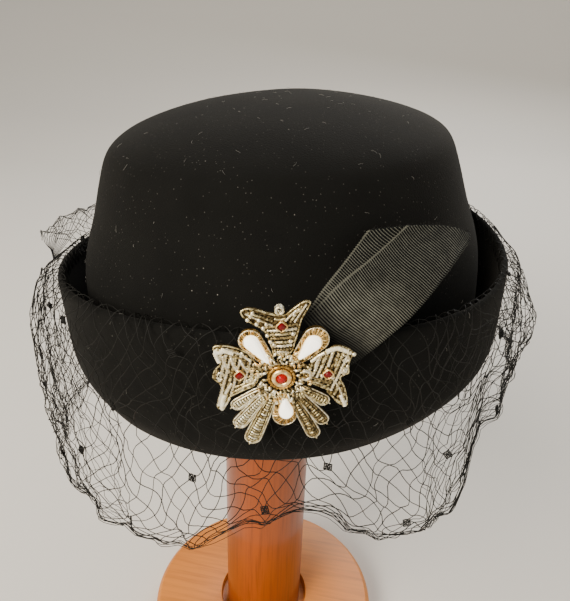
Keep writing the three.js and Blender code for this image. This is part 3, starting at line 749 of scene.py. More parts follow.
ribbon = {
    "wall": 0.5, "width": 21, "length": 50.5, "slant": 25.5,
    "crownGap": 4, "leanFrom": 5, "leanOver": 26,
    "layerGap": 1.3, "ribPitch": 0.78, "ribHeight": 0.24, "ribSpread": 0.25,
    "ribBow": 0.15, "ribSway": 0.35, "ribLean": 7.5,
    "warpPitch": 0.32, "pointsPerRib": 6, "across": 30, "tooth": 0.35,
    "selvedge": 0.8, "selvedgeHeight": 0.2, "curl": -1.8, "curlWidth": 6,
    "frayCount": 90, "frayLength": 1.7, "frayRadius": 0.07, "turnUnder": 3.2, "turnGap": 0.65, "turnSkew": 1.6,
}
# Where each tail starts round the hat and above the brooch's middle, its heading above level
# and how far that turns on the way, its length, slanted end and layer
tails = {
    "back": {
        "angle": -70.2, "above": 0.43, "heading": 36.4, "turn": -16.3, "length": 0.74,
        "slant": 0.85, "layer": 0, "seed": 3,
    },
    "front": {
        "angle": -71.3, "above": 0.36, "heading": 23.9, "turn": -12.9, "length": 1,
        "slant": 1, "layer": 1, "seed": 4,
    },
}


# The surface that the tails follow: outside the net and cuff, then leaning on the crown
def drapeAt(angle, z):
    outside = net["standOff"] + net["wall"] / 2 + net["clearance"] + 0.5
    start = rimHeightAt(angle) + ribbon["leanFrom"]
    share = smoothStep(z, start, start + ribbon["leanOver"])
    x, y = crownAt(z)
    gap = ribbon["crownGap"]
    across = lerp(felt["bellyX"] + outside, x + gap, share)
    return ellipsePoint(angle, across, lerp(felt["bellyY"] + outside, y + gap, share), z)


# How far that surface moves for each radian round the hat and each millimetre up it
def drapeSteps(angle, z):
    delta = 0.01
    around = (drapeAt(angle + delta, z) - drapeAt(angle - delta, z)) / (2 * delta)
    return around, (drapeAt(angle, z + delta) - drapeAt(angle, z - delta)) / (2 * delta)


# Length along one edge of a tail, and how much longer its other edge is
def tailCut(tail):
    return tail["length"] * ribbon["length"], tail["slant"] * ribbon["slant"]


# Stations along the middle of a tail: angle, height, the two steps there and the heading
def tailStations(tail, count):
    stride = sum(tailCut(tail)) / count
    angle = math.radians(tail["angle"])
    z = broochHeight + tail["above"] * ribbon["width"]
    stations = []
    for i in range(count + 1):
        around, up = drapeSteps(angle, z)
        heading = math.radians(tail["heading"] + tail["turn"] * (i / count - 0.5))
        stations.append((angle, z, around.length, up.length, heading))
        angle += stride * math.cos(heading) / around.length
        z += stride * math.sin(heading) / up.length
    return stations


# A point of a tail and the way out of it there, from the shares across and along its cut
def tailPoint(tail, stations, across, along):
    length, slant = tailCut(tail)
    aside = (across - 0.5) * ribbon["width"]
    reach = along * (length + slant * across)
    at = reach / (length + slant) * (len(stations) - 1)
    index = min(int(at), len(stations) - 2)
    angle, z, round1, up1, heading = (
        lerp(a, b, at - index) for a, b in zip(stations[index], stations[index + 1]))
    angle += aside * math.sin(heading) / round1
    z -= aside * math.cos(heading) / up1
    around, up = drapeSteps(angle, z)
    out = around.cross(up).normalized()
    return drapeAt(angle, z) + out * (tail["layer"] * ribbon["layerGap"]), out, reach


# One layer of a tail, ribbed and toothed at its edges, between two shares of its length
def ribbonLayer(name, tail, material, first, last, sink, skew):
    stations = tailStations(tail, 24)
    length, slant = tailCut(tail)
    rows = round((last - first) * (length + slant) / ribbon["ribPitch"] * ribbon["pointsPerRib"])
    bm = bmesh.new()
    bm.loops.layers.uv.new("UVMap")
    bmesh.ops.create_grid(
        bm, x_segments=ribbon["across"], y_segments=rows, size=0.5, calc_uvs=True)
    uv = bm.loops.layers.uv.active
    cloth = {}
    for vert in bm.verts:
        across = vert.co.x + 0.5
        along = lerp(first, last + skew * across / (length + slant), vert.co.y + 0.5)
        reach = along * (length + slant * across)
        bow = ribbon["ribBow"] * (1 - (2 * across - 1) ** 2)
        bow -= ribbon["ribLean"] * across * (1 - smoothStep(along, 0, 0.6))
        bow -= ribbon["ribSpread"] * reach ** 2 / (length + slant)
        ribAt = reach + bow + ribbon["ribSway"] * math.sin(2 * math.pi * across)
        rib = abs(math.cos(math.pi * ribAt / ribbon["ribPitch"]))
        fromEdge = min(across, 1 - across) * ribbon["width"] / ribbon["selvedge"]
        edge = max(0, 1 - fromEdge)
        tooth = math.copysign(rib * edge * ribbon["tooth"] / ribbon["width"], across - 0.5)
        point, out, _ = tailPoint(tail, stations, across + tooth, along)
        corner = max(0, 1 - (1 - across) * ribbon["width"] / ribbon["curlWidth"])
        lift = ribbon["curl"] * corner ** 2 * smoothStep(along, 0.75, 1)
        cloth[vert] = (across * ribbon["width"], ribAt)
        raised = rib * ribbon["ribHeight"] + edge * ribbon["selvedgeHeight"] + lift - sink
        vert.co = point + out * raised
    for face in bm.faces:
        for loop in face.loops:
            loop[uv].uv = cloth[loop.vert]
    bmesh.ops.recalc_face_normals(bm, faces=bm.faces)
    piece = addPiece(name, bm, hatPlace, [material])
    wall = piece.modifiers.new("wall", "SOLIDIFY")
    wall.thickness = ribbon["wall"] * mm
    wall.offset = 0
    return piece


def makeTail(name, tail, material):
    piece = ribbonLayer(f"{name}_tail", tail, material, 0, 1, 0, 0)
    settle(piece, "ribbon", f"ribbon_tail_{name}")
    length, slant = tailCut(tail)
    frayed = makeFray(name, tail, material)
    # The end is turned under once, and shows as a second layer
    under = ribbonLayer(
        f"{name}_tail_turn", tail, material, 1 - ribbon["turnUnder"] / length, 1,
        ribbon["turnGap"], ribbon["turnSkew"])
    settle(under, "ribbon")


# Loose warp threads along the slanted cut
def makeFray(name, tail, material):
    draw = random.Random(tail["seed"])
    stations = tailStations(tail, 24)
    curve = startStrands(f"{name}_tail_fray", [material])
    for _ in range(ribbon["frayCount"]):
        across = draw.uniform(0.01, 0.99)
        foot, out, _ = tailPoint(tail, stations, across, 0.995)
        before, _, _ = tailPoint(tail, stations, across, 0.96)
        ahead = (foot - before).normalized()
        side = ahead.cross(out)
        length = ribbon["frayLength"] * draw.uniform(0.25, 1)
        bend = side * draw.uniform(-0.7, 0.7) + out * draw.uniform(-0.2, 0.6)
        middle = foot + (ahead + bend * 0.4) * length * 0.5
        tip = foot + (ahead + bend) * length
        addStrand(curve, [foot, middle, tip], ribbon["frayRadius"])
    return settle(strandsPiece(curve, hatPlace), "ribbon")


grosgrain = ribbonMaterial()
for tailName, tailFacts in tails.items():
    makeTail(tailName, tailFacts, grosgrain)
print("ribbon tails made")


# Metal wire for embroidery: coils of fine plated wire, tarnished in random patches
def bullionMaterial(name, bright, dull, roughness, metallic=1):
    material, tree, shader = startMaterial(name, {"Metallic": metallic, "Roughness": roughness})
    coords = addNode(tree, "TexCoord").outputs["Object"]
    patches = addNode(tree, "TexNoise", {}, {
        "Vector": coords, "Scale": 1 / 0.0009, "Detail": 3, "Roughness": 0.6,
    })
    turns = addNode(tree, "TexNoise", {}, {"Vector": coords, "Scale": 1 / 0.0003, "Detail": 2})
    spread = addNode(tree, "MapRange", {}, {
        "Value": patches.outputs[0], "From Min": 0.4, "From Max": 0.58,
    })
    shade = mixColours(tree, spread.outputs[0], colour(dull), colour(bright))
    tree.links.new(shade, shader.inputs["Base Color"])
    bump = addNode(tree, "Bump", {}, {
        "Height": turns.outputs[0], "Strength": 0.5, "Distance": 0.0001,
    })
    tree.links.new(bump.outputs[0], shader.inputs["Normal"])
    return material


# Opaque white glass: smooth and bright, with a painted glow as though it were a lamp
def milkGlassMaterial():
    material, tree, shader = startMaterial("milk_glass", {
        "Roughness": 0.14, "IOR": 1.5, "Emission Strength": 2,
    })
    # Painted glow: the emission gives the stone light of its own, though it is no lamp
    shader.inputs["Emission Color"].default_value = colour("#fff6e0")
    coords = addNode(tree, "TexCoord").outputs["Object"]
    cloud = addNode(tree, "TexNoise", {}, {"Vector": coords, "Scale": 1 / 0.003, "Detail": 2})
    shade = mixColours(tree, cloud.outputs[0], colour("#fffef8"), colour("#f6f1e4"))
    tree.links.new(shade, shader.inputs["Base Color"])
    return material


# Red glass paste: deep red, clear at the surface, so it takes a sharp highlight
def redGlassMaterial(name, bright, deep):
    material, tree, shader = startMaterial(name, {
        "Roughness": 0.16, "IOR": 1.45, "Specular IOR Level": 0.35,
    })
    coords = addNode(tree, "TexCoord").outputs["Object"]
    depth = addNode(tree, "TexNoise", {}, {"Vector": coords, "Scale": 1 / 0.0016, "Detail": 1})
    shade = mixColours(tree, depth.outputs[0], colour(bright), colour(deep))
    tree.links.new(shade, shader.inputs["Base Color"])
    return material


pale, silver, tarnish, copper, gilt, ground, creamHighlight = range(7)  # finishes of the wires
wires = [
    bullionMaterial("bright_silver_plate", "#fffbe4", "#d4c294", 0.34),
    bullionMaterial("antique_silver_bullion", "#ebdcaa", "#6d5c38", 0.36),
    bullionMaterial("tarnished_bullion", "#ac986a", "#43361f", 0.42),
    bullionMaterial("copper_gold_bullion", "#dfb366", "#86632a", 0.36),
    bullionMaterial("pale_gilt_wire", "#ffe7ac", "#e2b670", 0.3),
    bullionMaterial("blackened_ground", "#7d6a45", "#2e2414", 0.5),
    # Painted highlight: a matt cream cord, not metal, whose colour stands in for the highlights that the wire
    # would catch
    bullionMaterial("cream_highlight_cord", "#fffbe6", "#e6d9ac", 0.5, 0),
]
milkGlass = milkGlassMaterial()
redGlass = redGlassMaterial("red_glass_paste", "#bc0002", "#7c0003")
garnetGlass = redGlassMaterial("garnet_glass_paste", "#8a0008", "#240002")

brooch = {
    "angle": -78.2, "height": broochHeight, "layer": 2.9, "leafThickness": 2, "reach": 25,
    "gap": 0.3, "ridge": 0.68, "pitch": 0.6, "rimRadius": 0.36, "rimHeight": 1.45,
    "rosetteRadius": 4.4, "beadGap": 0.8, "beadRadius": 0.9,
}
broochCore = (
    brooch["rosetteRadius"] + brooch["beadGap"] + 2 * brooch["beadRadius"] + brooch["gap"])


# The brooch's own plane: x to the right, y up, z out of the cuff
def broochPlace():
    angle = math.radians(brooch["angle"])
    away = net["standOff"] + net["wall"] / 2 + net["clearance"]
    normal = ellipsePoint(angle, 1 / felt["bellyX"], 1 / felt["bellyY"], 0).normalized()
    middle = ellipsePoint(angle, felt["bellyX"], felt["bellyY"], brooch["height"])
    turn = math.atan2(normal.y, normal.x) + math.pi / 2
    return (
        hatPlace @ Matrix.Translation(middle + normal * away)
        @ Matrix.Rotation(turn, 4, "Z") @ Matrix.Rotation(math.pi / 2, 4, "X")
    )


panel = broochPlace()


# A coil of wire along a smooth line: rings of high and low radius stand for its turns
def addPurl(curve, points, radius, finish, closed=False, pitch=None, ridge=None):
    path = smoothPath(points, (pitch or brooch["pitch"]) / 2, closed)
    low = ridge or brooch["ridge"]
    radii = [radius * (1 if i % 2 else low) for i in range(len(path))]
    addStrand(curve, path, radii, closed, finish)


def atHeight(points, z):
    return [Vector((p[0], p[1], z)) for p in points]


# Points round a circle, as a smooth line takes them
def circle(x, y, radius, z, first=0, last=360):
    angles = [lerp(first, last, i / 16) for i in range(16 if last - first == 360 else 17)]
    return [
        Vector((x + radius * math.cos(math.radians(a)), y + radius * math.sin(math.radians(a)), z))
        for a in angles]


# Hull of a small circle and a large one, on a line from the brooch's centre
def teardrop(angle, point, end, pointRadius, radius, grow=0, steps=16):
    turn = math.acos((pointRadius - radius) / (end - point))
    outline = []
    arcs = (
        (end, radius, -turn, turn, steps - 4),
        (point, pointRadius, turn, 2 * math.pi - turn, 4),
    )
    for centre, size, first, last, count in arcs:
        for i in range(count):
            at = lerp(first, last, i / (count - 1))
            outline.append(Vector((
                centre + (size + grow) * math.cos(at), (size + grow) * math.sin(at), 0,
            )))
    return [Matrix.Rotation(math.radians(angle), 4, "Z") @ p for p in outline]


# Rows from edge to edge of an outline, at one angle to level
def rowsAcross(outline, turn, step, margin):
    level = Matrix.Rotation(math.radians(-turn), 4, "Z")
    edge = [level @ Vector((p[0], p[1], 0)) for p in outline]
    rows = []
    count = int((max(p.y for p in edge) - min(p.y for p in edge)) / step)
    for i in range(count + 1):
        y = min(p.y for p in edge) + step * (i + 0.6)
        crossings = sorted(
            lerp(a.x, b.x, (y - a.y) / (b.y - a.y))
            for a, b in zip(edge, edge[1:] + edge[:1]) if (a.y > y) != (b.y > y))
        for left, right in zip(crossings[::2], crossings[1::2]):
            if right - left > 2.4 * margin:
                ends = Vector((left + margin, y, 0)), Vector((right - margin, y, 0))
                rows.append([level.inverted() @ end for end in ends])
    return rows


# A low body on an outline: each row is a share of its width and a height above the base
def raisedShape(bm, outline, base, rows):
    verts = [bm.verts.new((p[0], p[1], base)) for p in outline]
    top = bm.faces.new(verts)
    if top.normal.z < 0:
        top.normal_flip()
    centre = top.calc_center_median()
    previous = 1
    for share, height in rows:
        made = bmesh.ops.extrude_face_region(bm, geom=[top])["geom"]
        top = next(f for f in made if isinstance(f, bmesh.types.BMFace))
        moved = [v for v in made if isinstance(v, bmesh.types.BMVert)]
        for vert in moved:
            aside = (vert.co - centre) * (share / previous)
            vert.co = Vector((centre.x + aside.x, centre.y + aside.y, base + height))
        previous = share
    bmesh.ops.recalc_face_normals(bm, faces=bm.faces)


# Leaves: outline, the direction and spacing of the rows of coils that fill it, and the height
# above which it has none
leaves = {
    "top": {
        "turn": 3, "step": 1.3, "radius": 0.68, "margin": 0.55, "rowsTo": 18.2,
        "pitch": 0.85, "ridge": 0.55,
        "finishes": (silver, tarnish, pale, silver, tarnish, silver, pale, tarnish, silver),
        "outline": [
            (1.4, 20.4), (-1.5, 20.7), (-3.9, 21.4), (-6.2, 22.3), (-9.1, 22.8), (-10.7, 22.1),
            (-10.4, 20.9), (-8.5, 18.8), (-5.9, 17.1), (-4.4, 15.8), (-3.3, 12.9), (-2.3, 9.6),
            (-1.9, 7.8), (2.6, 7.8), (4.4, 12.5), (5.4, 15.6), (6, 18.3), (6.9, 20.3),
            (8.8, 24.3), (7.4, 24.5), (5.4, 23.3), (3.2, 21.6),
        ],
    },
    "left": {
        "turn": 74, "step": 1.45, "radius": 0.74, "margin": 0.5, "rowsTo": 30,
        "pitch": 0.95, "ridge": 0.5,
        "finishes": (silver, pale, pale, tarnish, pale),
        "outline": [
            (-10, 8.6), (-13.2, 10.3), (-16.2, 11.1), (-19.3, 10.8), (-18.5, 7.5), (-17.7, 5.3),
            (-19.6, 2.8), (-20.2, 0.3), (-18.6, -1.5), (-17.9, -3.6), (-19.1, -7),
            (-19.6, -10.7), (-17.6, -10.2), (-16.3, -7.1), (-12, -4.6), (-8.1, -2.6),
            (-6.6, 1.1), (-7.1, 4.1),
        ],
    },
    "right": {
        "turn": 68, "step": 1.45, "radius": 0.72, "margin": 0.5, "rowsTo": 30,
        "pitch": 0.95, "ridge": 0.5,
        "finishes": (pale, silver, tarnish, silver, pale),
        "outline": [
            (9, 4.1), (10.9, 6.2), (13.4, 8.2), (16.1, 9.5), (18.9, 9), (21.2, 7.1), (20.5, 5.4),
            (19.8, 2.9), (19.9, 0.3), (17.5, -1.1), (18.8, -5), (19.5, -11.4), (16.6, -9.9),
            (14.2, -5.9), (10.2, -3.4), (7.1, -1.4), (6.8, 2),
        ],
    },
}
# Coils laid over each leaf: radius, finish and the points that the coil goes through
# The cream cords among the coils are painted highlights.
leafCoils = {
    "top": [
        (0.36, pale, [(-1.9, 17.6), (-5.9, 19.6), (-9.6, 21.7)]),
        (0.42, silver, [(-2, 19), (-5.6, 20.6), (-9, 22)]),
        (0.4, pale, [(4.2, 18.4), (6.2, 21.6), (7.8, 24)]),
        (0.42, silver, [(3, 18.6), (4.8, 21), (6.6, 23.4)]),
        (0.42, pale, [(1.6, 18.8), (3.2, 20.6), (5, 22.2)]),
        (0.55, silver, [(-1.4, 19.6), (0.4, 19.3), (2, 19.8)]),
        (0.62, pale, [(-1.6, 8.6), (0.4, 9), (2.4, 8.5)]),
    ],
    "left": [
        (0.9, creamHighlight, [(-19.4, 9.6), (-17.8, 9.4), (-16.6, 9.9), (-13.8, 8.9)]),
        (0.5, pale, [(-16.6, 10.5), (-13.6, 9.5), (-11, 7.9), (-9.2, 6.3)]),
        (0.5, tarnish, [(-16.2, 9.1), (-13.4, 8), (-11, 6.6), (-9.4, 5.2)]),
        (0.8, creamHighlight, [(-19, 9.4), (-18.6, 7.8), (-18, 6.2)]),
        (0.72, pale, [(-16.9, 8.2), (-16.4, 5), (-15.4, 2.4)]),
        (0.76, pale, [(-14.5, 7.4), (-13.8, 4.6), (-13, 3.2)]),
        (0.7, pale, [(-11.8, 6.4), (-11, 4.4), (-10, 2.6)]),
        (0.62, silver, [(-9.8, 4.8), (-9, 3), (-8.2, 1)]),
        (0.42, pale, [(-17, 1.2), (-17.4, 2.2), (-18.3, 2.4), (-19, 1.7), (-19, 0.7), (-18.3, 0),
                      (-17.4, 0.2)]),
        (0.7, pale, [(-14.8, -1.4), (-16.2, -3.4), (-17, -5)]),
        (0.9, creamHighlight, [(-17.2, -5.4), (-18, -8), (-18.4, -10.7)]),
        (0.42, pale, [(-18.5, -11), (-17, -8.8), (-15.8, -6.4)]),
        (0.6, silver, [(-8, -1.4), (-11.6, -2.9), (-15, -5)]),
        (0.55, silver, [(-8.2, 0), (-11, -1.6), (-14, -2.8)]),
    ],
    "right": [
        (0.7, pale, [(8.8, 5), (11, 6.9), (13, 8)]),
        (0.8, creamHighlight, [(13.2, 8.3), (16.6, 9.1), (19.6, 8)]),
        (0.6, creamHighlight, [(19.4, 7.9), (20.6, 7.4)]),
        (0.66, pale, [(11.4, 6.6), (10.4, 4.4), (10, 2.2)]),
        (0.62, silver, [(13.4, 7.2), (12.4, 4.8), (12, 3)]),
        (0.66, pale, [(15.2, 7.8), (14.4, 5.2), (13.8, 3.2)]),
        (0.6, silver, [(17, 7.6), (16.2, 5), (15.8, 2.8)]),
        (0.42, pale, [(18.2, 6.9), (19.6, 6.5), (20, 5.2), (18.9, 4.6), (18, 5.4)]),
        (0.66, pale, [(17.6, 2.3), (18.4, 2.6), (19.2, 1.8), (18.6, 0.9), (17.7, 1.2)]),
        (0.45, pale, [(15.6, -1.5), (17.4, -5.1), (19.1, -11.2)]),
        (0.75, creamHighlight, [(17.6, -7), (18.5, -9.4), (19, -11)]),
        (0.42, silver, [(13.6, -5.6), (16.4, -8.8), (19, -11.2)]),
        (0.6, silver, [(8, -1.2), (10.8, -2.4), (14.2, -4.8)]),
        (0.55, tarnish, [(8, 0.2), (10.8, -1.1), (14.4, -2.7)]),
    ],
}
# Single metal beads on the leaves
leafBeads = [
    (-9, 19.8), (-6.5, 18.4), (-4.7, 17), (-8.1, 20.9), (-5.8, 19.6), (-3.7, 18.2), (-7.5, 21.9),
    (-3.6, 14.6), (-2.8, 12.5), (-1.8, 11.4), (5.7, 22.4), (4.2, 21), (2.9, 12.4), (3.8, 14.8),
    (21.4, 7.2), (18.6, 1.7), (-13.2, 1.2), (-10.2, -0.6), (15.2, -0.6), (12, 0.2),
]


# Rows of coils that fill an outline, lying on its top
def fillRows(curve, outline, facts, top):
    rows = rowsAcross(outline, facts["turn"], facts["step"], facts["margin"])
    rows = [row for row in rows if max(p.y for p in row) < facts["rowsTo"]]
    for i, (left, right) in enumerate(rows):
        middle = left.lerp(right, 0.5) + Vector((0, 0, top + 0.2))
        row = [left + Vector((0, 0, top - 0.25)), middle, right + Vector((0, 0, top - 0.25))]
        finish = facts["finishes"][i % len(facts["finishes"])]
        addPurl(curve, row, facts["radius"], finish, pitch=facts["pitch"], ridge=facts["ridge"])


def makeLeaf(name):
    facts = leaves[name]
    top = brooch["layer"] + brooch["leafThickness"]
    outline = smoothPath([(*p, 0) for p in facts["outline"]], 1.2, closed=True)
    curve = startStrands(f"leaf_{name}_bullion", wires, sides=6)
    fillRows(curve, outline, facts, top - 0.2)
    rim = atHeight(outline, brooch["layer"] + brooch["rimHeight"])
    addPurl(curve, rim, brooch["rimRadius"], silver, closed=True)
    for radius, finish, points in leafCoils[name]:
        addPurl(curve, atHeight(points, top + 0.1), radius, finish)
    settle(strandsPiece(curve, panel), "silver_thread")
    bm = bmesh.new()
    raisedShape(bm, outline, brooch["layer"], [(1, 0.9), (0.96, 1.2), (0.88, 1.4)])
    base = addPiece(f"leaf_{name}_ground", bm, panel, [wires[ground]])
    settle(base, "silver_thread", f"brooch_leaf_{name}")


# Petals below the centre: direction, how far out they end, half width and the two finishes of
# their ribs
petals = [
    (215, 0.66, 0.09, pale, pale), (231, 0.91, 0.1, pale, pale),
    (246.5, 1.11, 0.112, pale, silver), (293.5, 1.03, 0.096, silver, tarnish),
    (306.5, 0.86, 0.092, silver, tarnish), (323.5, 0.58, 0.09, silver, silver),
]
petal = {
    "rootOut": 1, "rootShare": 0.6, "rim": 0.33, "innerRim": 0.34, "innerAt": 0.95,
    "ribStep": 0.95, "ribRadius": 0.46, "ribMargin": 1, "tipLength": 1,
}


def makePetal(number, angle, out, radius, bright, dull):
    layer, top = brooch["layer"], brooch["layer"] + brooch["leafThickness"]
    half = radius * brooch["reach"]
    root, end = broochCore + petal["rootOut"], lerp(broochCore, brooch["reach"], out) - half
    curve = startStrands(f"petal_{number}_bullion", wires, sides=6)
    rim = teardrop(angle, root, end, half * petal["rootShare"], half, -petal["rim"])
    tip = Matrix.Rotation(math.radians(angle), 4, "Z") @ Vector((1, 0, 0))
    addPurl(curve, atHeight(rim, layer + 1.4), petal["rim"], pale, closed=True, pitch=0.5)
    inner = teardrop(angle, root, end, half * petal["rootShare"], half, -petal["innerAt"])
    addPurl(curve, atHeight(inner, layer + 1.8), petal["innerRim"], dull, closed=True, pitch=0.5)
    point = [tip * (end + half - 0.4), tip * (end + half - 0.4 + petal["tipLength"])]
    addPurl(curve, atHeight(point, layer + 1.2), petal["rim"] * 0.8, pale, pitch=0.5)
    ribs = {"turn": angle + 90, "step": petal["ribStep"], "margin": petal["ribMargin"],
            "radius": petal["ribRadius"], "rowsTo": 30, "pitch": 0.7, "ridge": 0.6,
            "finishes": (bright, dull)}
    fillRows(curve, rim, ribs, top)
    settle(strandsPiece(curve, panel), "silver_thread")
    bm = bmesh.new()
    outline = teardrop(angle, root, end, half * petal["rootShare"], half - 0.15)
    raisedShape(bm, outline, layer, [(1, 1), (0.8, 1.5)])
    base = addPiece(f"petal_{number}_ground", bm, panel, [wires[ground]])
    settle(base, "silver_thread", f"brooch_petal_{number}")


# Teardrop stones, as shares of the brooch's reach: direction, how far the point stands back,
# length and half width, and the share of the band's width. Then, in millimetres and degrees,
# how far the stone and the outer edge of its setting stand out of line, and the stone's turn.
drops = [
    (124.2, 0, 0.33, 0.088, 1, 0, 0.3, 0), (50, 0.06, 0.26, 0.094, 1.2, 0, 1.1, 0),
    (272, 0.035, 0.23, 0.088, 1.15, -0.9, 0.6, 2.5),
]
drop = {
    "band": 1.2, "pointRadius": 0.5, "floor": 0.8, "height": 2.9, "seam": 0.05,
    "tickGap": 0.52, "tickRadius": 0.21, "tickHeight": 2.1, "wireRadius": 0.26, "wireHeight": 1.75,
    "innerWire": 0.2, "plate": [(1, 1.3), (0.95, 1.65)],
    "rows": [(1, 0.35), (0.94, 0.7), (0.8, 0.9), (0.55, 1), (0.25, 1.03)],
}


def makeDrop(number, angle, back, length, radius, band, stoneShift, edgeShift, stoneTurn):
    layer, reach = brooch["layer"], brooch["reach"]
    tip, half = drop["pointRadius"], radius * reach
    point = brooch["rosetteRadius"] + 2 * brooch["gap"] + band * drop["band"] + tip + back * reach
    end = point + length * reach
    seat = (angle + stoneTurn, point, end + stoneShift, tip, half)
    edge = (angle, point, end + edgeShift, tip, half)
    bm = bmesh.new()
    base, height = layer + drop["floor"], drop["height"]
    rows = [(share, up * height) for share, up in drop["rows"]]
    raisedShape(bm, teardrop(*seat, steps=22), base, rows)
    stone = addPiece(f"drop_{number}_glass", bm, panel, [milkGlass])
    soft = stone.modifiers.new("soft", "SUBSURF")
    soft.levels = soft.render_levels = 2
    settle(stone, "white_stone", f"drop_stone_{number}")
    wire, width = drop["wireRadius"], band * drop["band"]
    outside = teardrop(*edge, width, steps=22)
    bm = bmesh.new()
    raisedShape(bm, outside, layer, drop["plate"])
    settle(addPiece(f"drop_{number}_plate", bm, panel, [wires[copper]]), "gold_thread")
    curve = startStrands(f"drop_{number}_setting", wires, sides=6)
    addPurl(curve, atHeight(outside, layer + drop["wireHeight"]), wire, pale, closed=True)
    inner = atHeight(teardrop(*seat, drop["seam"] + drop["innerWire"], steps=22),
                     layer + drop["tickHeight"])
    addPurl(curve, inner, drop["innerWire"], gilt, closed=True)
    # Fine ticks of wire from the stone to the outer edge
    outer = smoothPath(atHeight(outside, layer + drop["wireHeight"]), drop["tickGap"], closed=True)
    for i, there in enumerate(outer):
        here = min(inner, key=lambda p: (p - there).length)
        here = here.lerp(inner[(inner.index(here) + 1) % len(inner)], 0.5)
        middle = here.lerp(there, 0.5) + Vector((0, 0, 0.25))
        finish = (copper, gilt, copper, tarnish)[i % 4]
        addStrand(curve, [here, middle, there], drop["tickRadius"], finish=finish)
    settle(strandsPiece(curve, panel), "gold_thread", f"drop_setting_{number}")


rosette = {
    "coilAt": 3.75, "coilRadius": 0.7, "skirtAt": 3.8, "skirtRadius": 0.7, "ringAt": 2.35,
    "ringRadius": 0.86, "stoneRadius": 1.7, "curlRadius": 1.45, "curlCoil": 0.62,
    "curl": (7.1, 1.2), "curlHeight": 3.3,
    "stoneRows": [(1, 0.5), (0.93, 1), (0.75, 1.45), (0.45, 1.75), (0.2, 1.85)],
}


def makeCentre():
    layer = brooch["layer"]
    curve = startStrands("rosette_bullion", wires, sides=6)
    addPurl(curve, circle(0, 0, rosette["skirtAt"], layer + 1), rosette["skirtRadius"], copper,
            closed=True)
    addPurl(curve, circle(0, 0, rosette["coilAt"], layer + 2.2), rosette["coilRadius"], copper,
            closed=True, pitch=1.05, ridge=0.45)
    ring = smoothPath(circle(0, 0, rosette["ringAt"], layer + 2.5), 0.5, closed=True)
    addStrand(curve, ring, rosette["ringRadius"], True, gilt)
    settle(strandsPiece(curve, panel), "gold_thread", "brooch_rosette")
    bm = bmesh.new()
    raisedShape(bm, circle(0, 0, rosette["stoneRadius"], 0), layer + 1.8, rosette["stoneRows"])
    stone = addPiece("centre_cabochon", bm, panel, [redGlass])
    soft = stone.modifiers.new("soft", "SUBSURF")
    soft.levels = soft.render_levels = 2
    settle(stone, "red_stone", "centre_stone")
    curve = startStrands("curled_bullion", wires, sides=6)
    curl = circle(*rosette["curl"], rosette["curlRadius"], layer + rosette["curlHeight"], -140, 130)
    addPurl(curve, curl, rosette["curlCoil"], pale)
    settle(strandsPiece(curve, panel), "silver_thread")


# Small stones in square gilt frames: direction, how far out, and the turn of the frame
squares = [(88, 0.58, 45), (172, 0.29, 42), (4, 0.37, 38)]
frameFacts = {
    "half": 1.3, "corner": 0.6, "wire": 0.22, "rise": 0.85, "baseWire": 0.26, "baseRise": 0.35,
    "stone": 1.25, "stoneRows": [(1, 0.7), (0.55, 1.35)],
}


def makeSquare(number, angle, out, turn):
    base = brooch["layer"] + brooch["leafThickness"] + brooch["gap"]
    reach = lerp(broochCore, brooch["reach"], out)
    middle = Matrix.Rotation(math.radians(angle), 4, "Z") @ Vector((reach, 0, 0))
    place = Matrix.Translation(middle) @ Matrix.Rotation(math.radians(turn), 4, "Z")
    half, corner = frameFacts["half"], frameFacts["corner"]
    outline = []
    for quarter in range(4):
        away = math.radians(90 * quarter + 45)
        for i in range(4):
            at = math.radians(90 * quarter + 30 * i)
            outline.append(place @ Vector((
                (half - corner) * math.sqrt(2) * math.cos(away) + corner * math.cos(at),
                (half - corner) * math.sqrt(2) * math.sin(away) + corner * math.sin(at), 0,
            )))
    curve = startStrands(f"square_{number}_frame", wires, sides=6)
    addStrand(curve, atHeight(outline, base + frameFacts["rise"]), frameFacts["wire"], True, gilt)
    addStrand(
        curve, atHeight(outline, base + frameFacts["baseRise"]), frameFacts["baseWire"], True, copper)
    settle(strandsPiece(curve, panel), "gold_thread", f"small_setting_{number}")
    bm = bmesh.new()
    ring = [place @ Matrix.Rotation(math.radians(45 * i + 22.5), 4, "Z")
            @ Vector((frameFacts["stone"], 0, 0)) for i in range(8)]
    raisedShape(bm, ring, base, frameFacts["stoneRows"])
    stone = addPiece(f"square_{number}_glass", bm, panel, [garnetGlass], smooth=False)
    settle(stone, "red_stone", f"small_stone_{number}")


beadAngles = [90, 152, 175, 198, 221, 245, 297, 320, 343, 6, 28]
bits = {
    "count": 116, "nearest": 4.9, "farthest": 9.4, "height": 1.9, "shortest": 0.3, "longest": 1.1,
    "radius": 0.5, "knobAt": 22.3, "knobTurns": 3, "knobRadius": 1.05, "knobCoil": 0.52,
}


def addBead(bm, x, y, z, radius):
    bmesh.ops.create_uvsphere(
        bm, u_segments=14, v_segments=8, radius=radius,
        matrix=Matrix.Translation((x, y, z)))


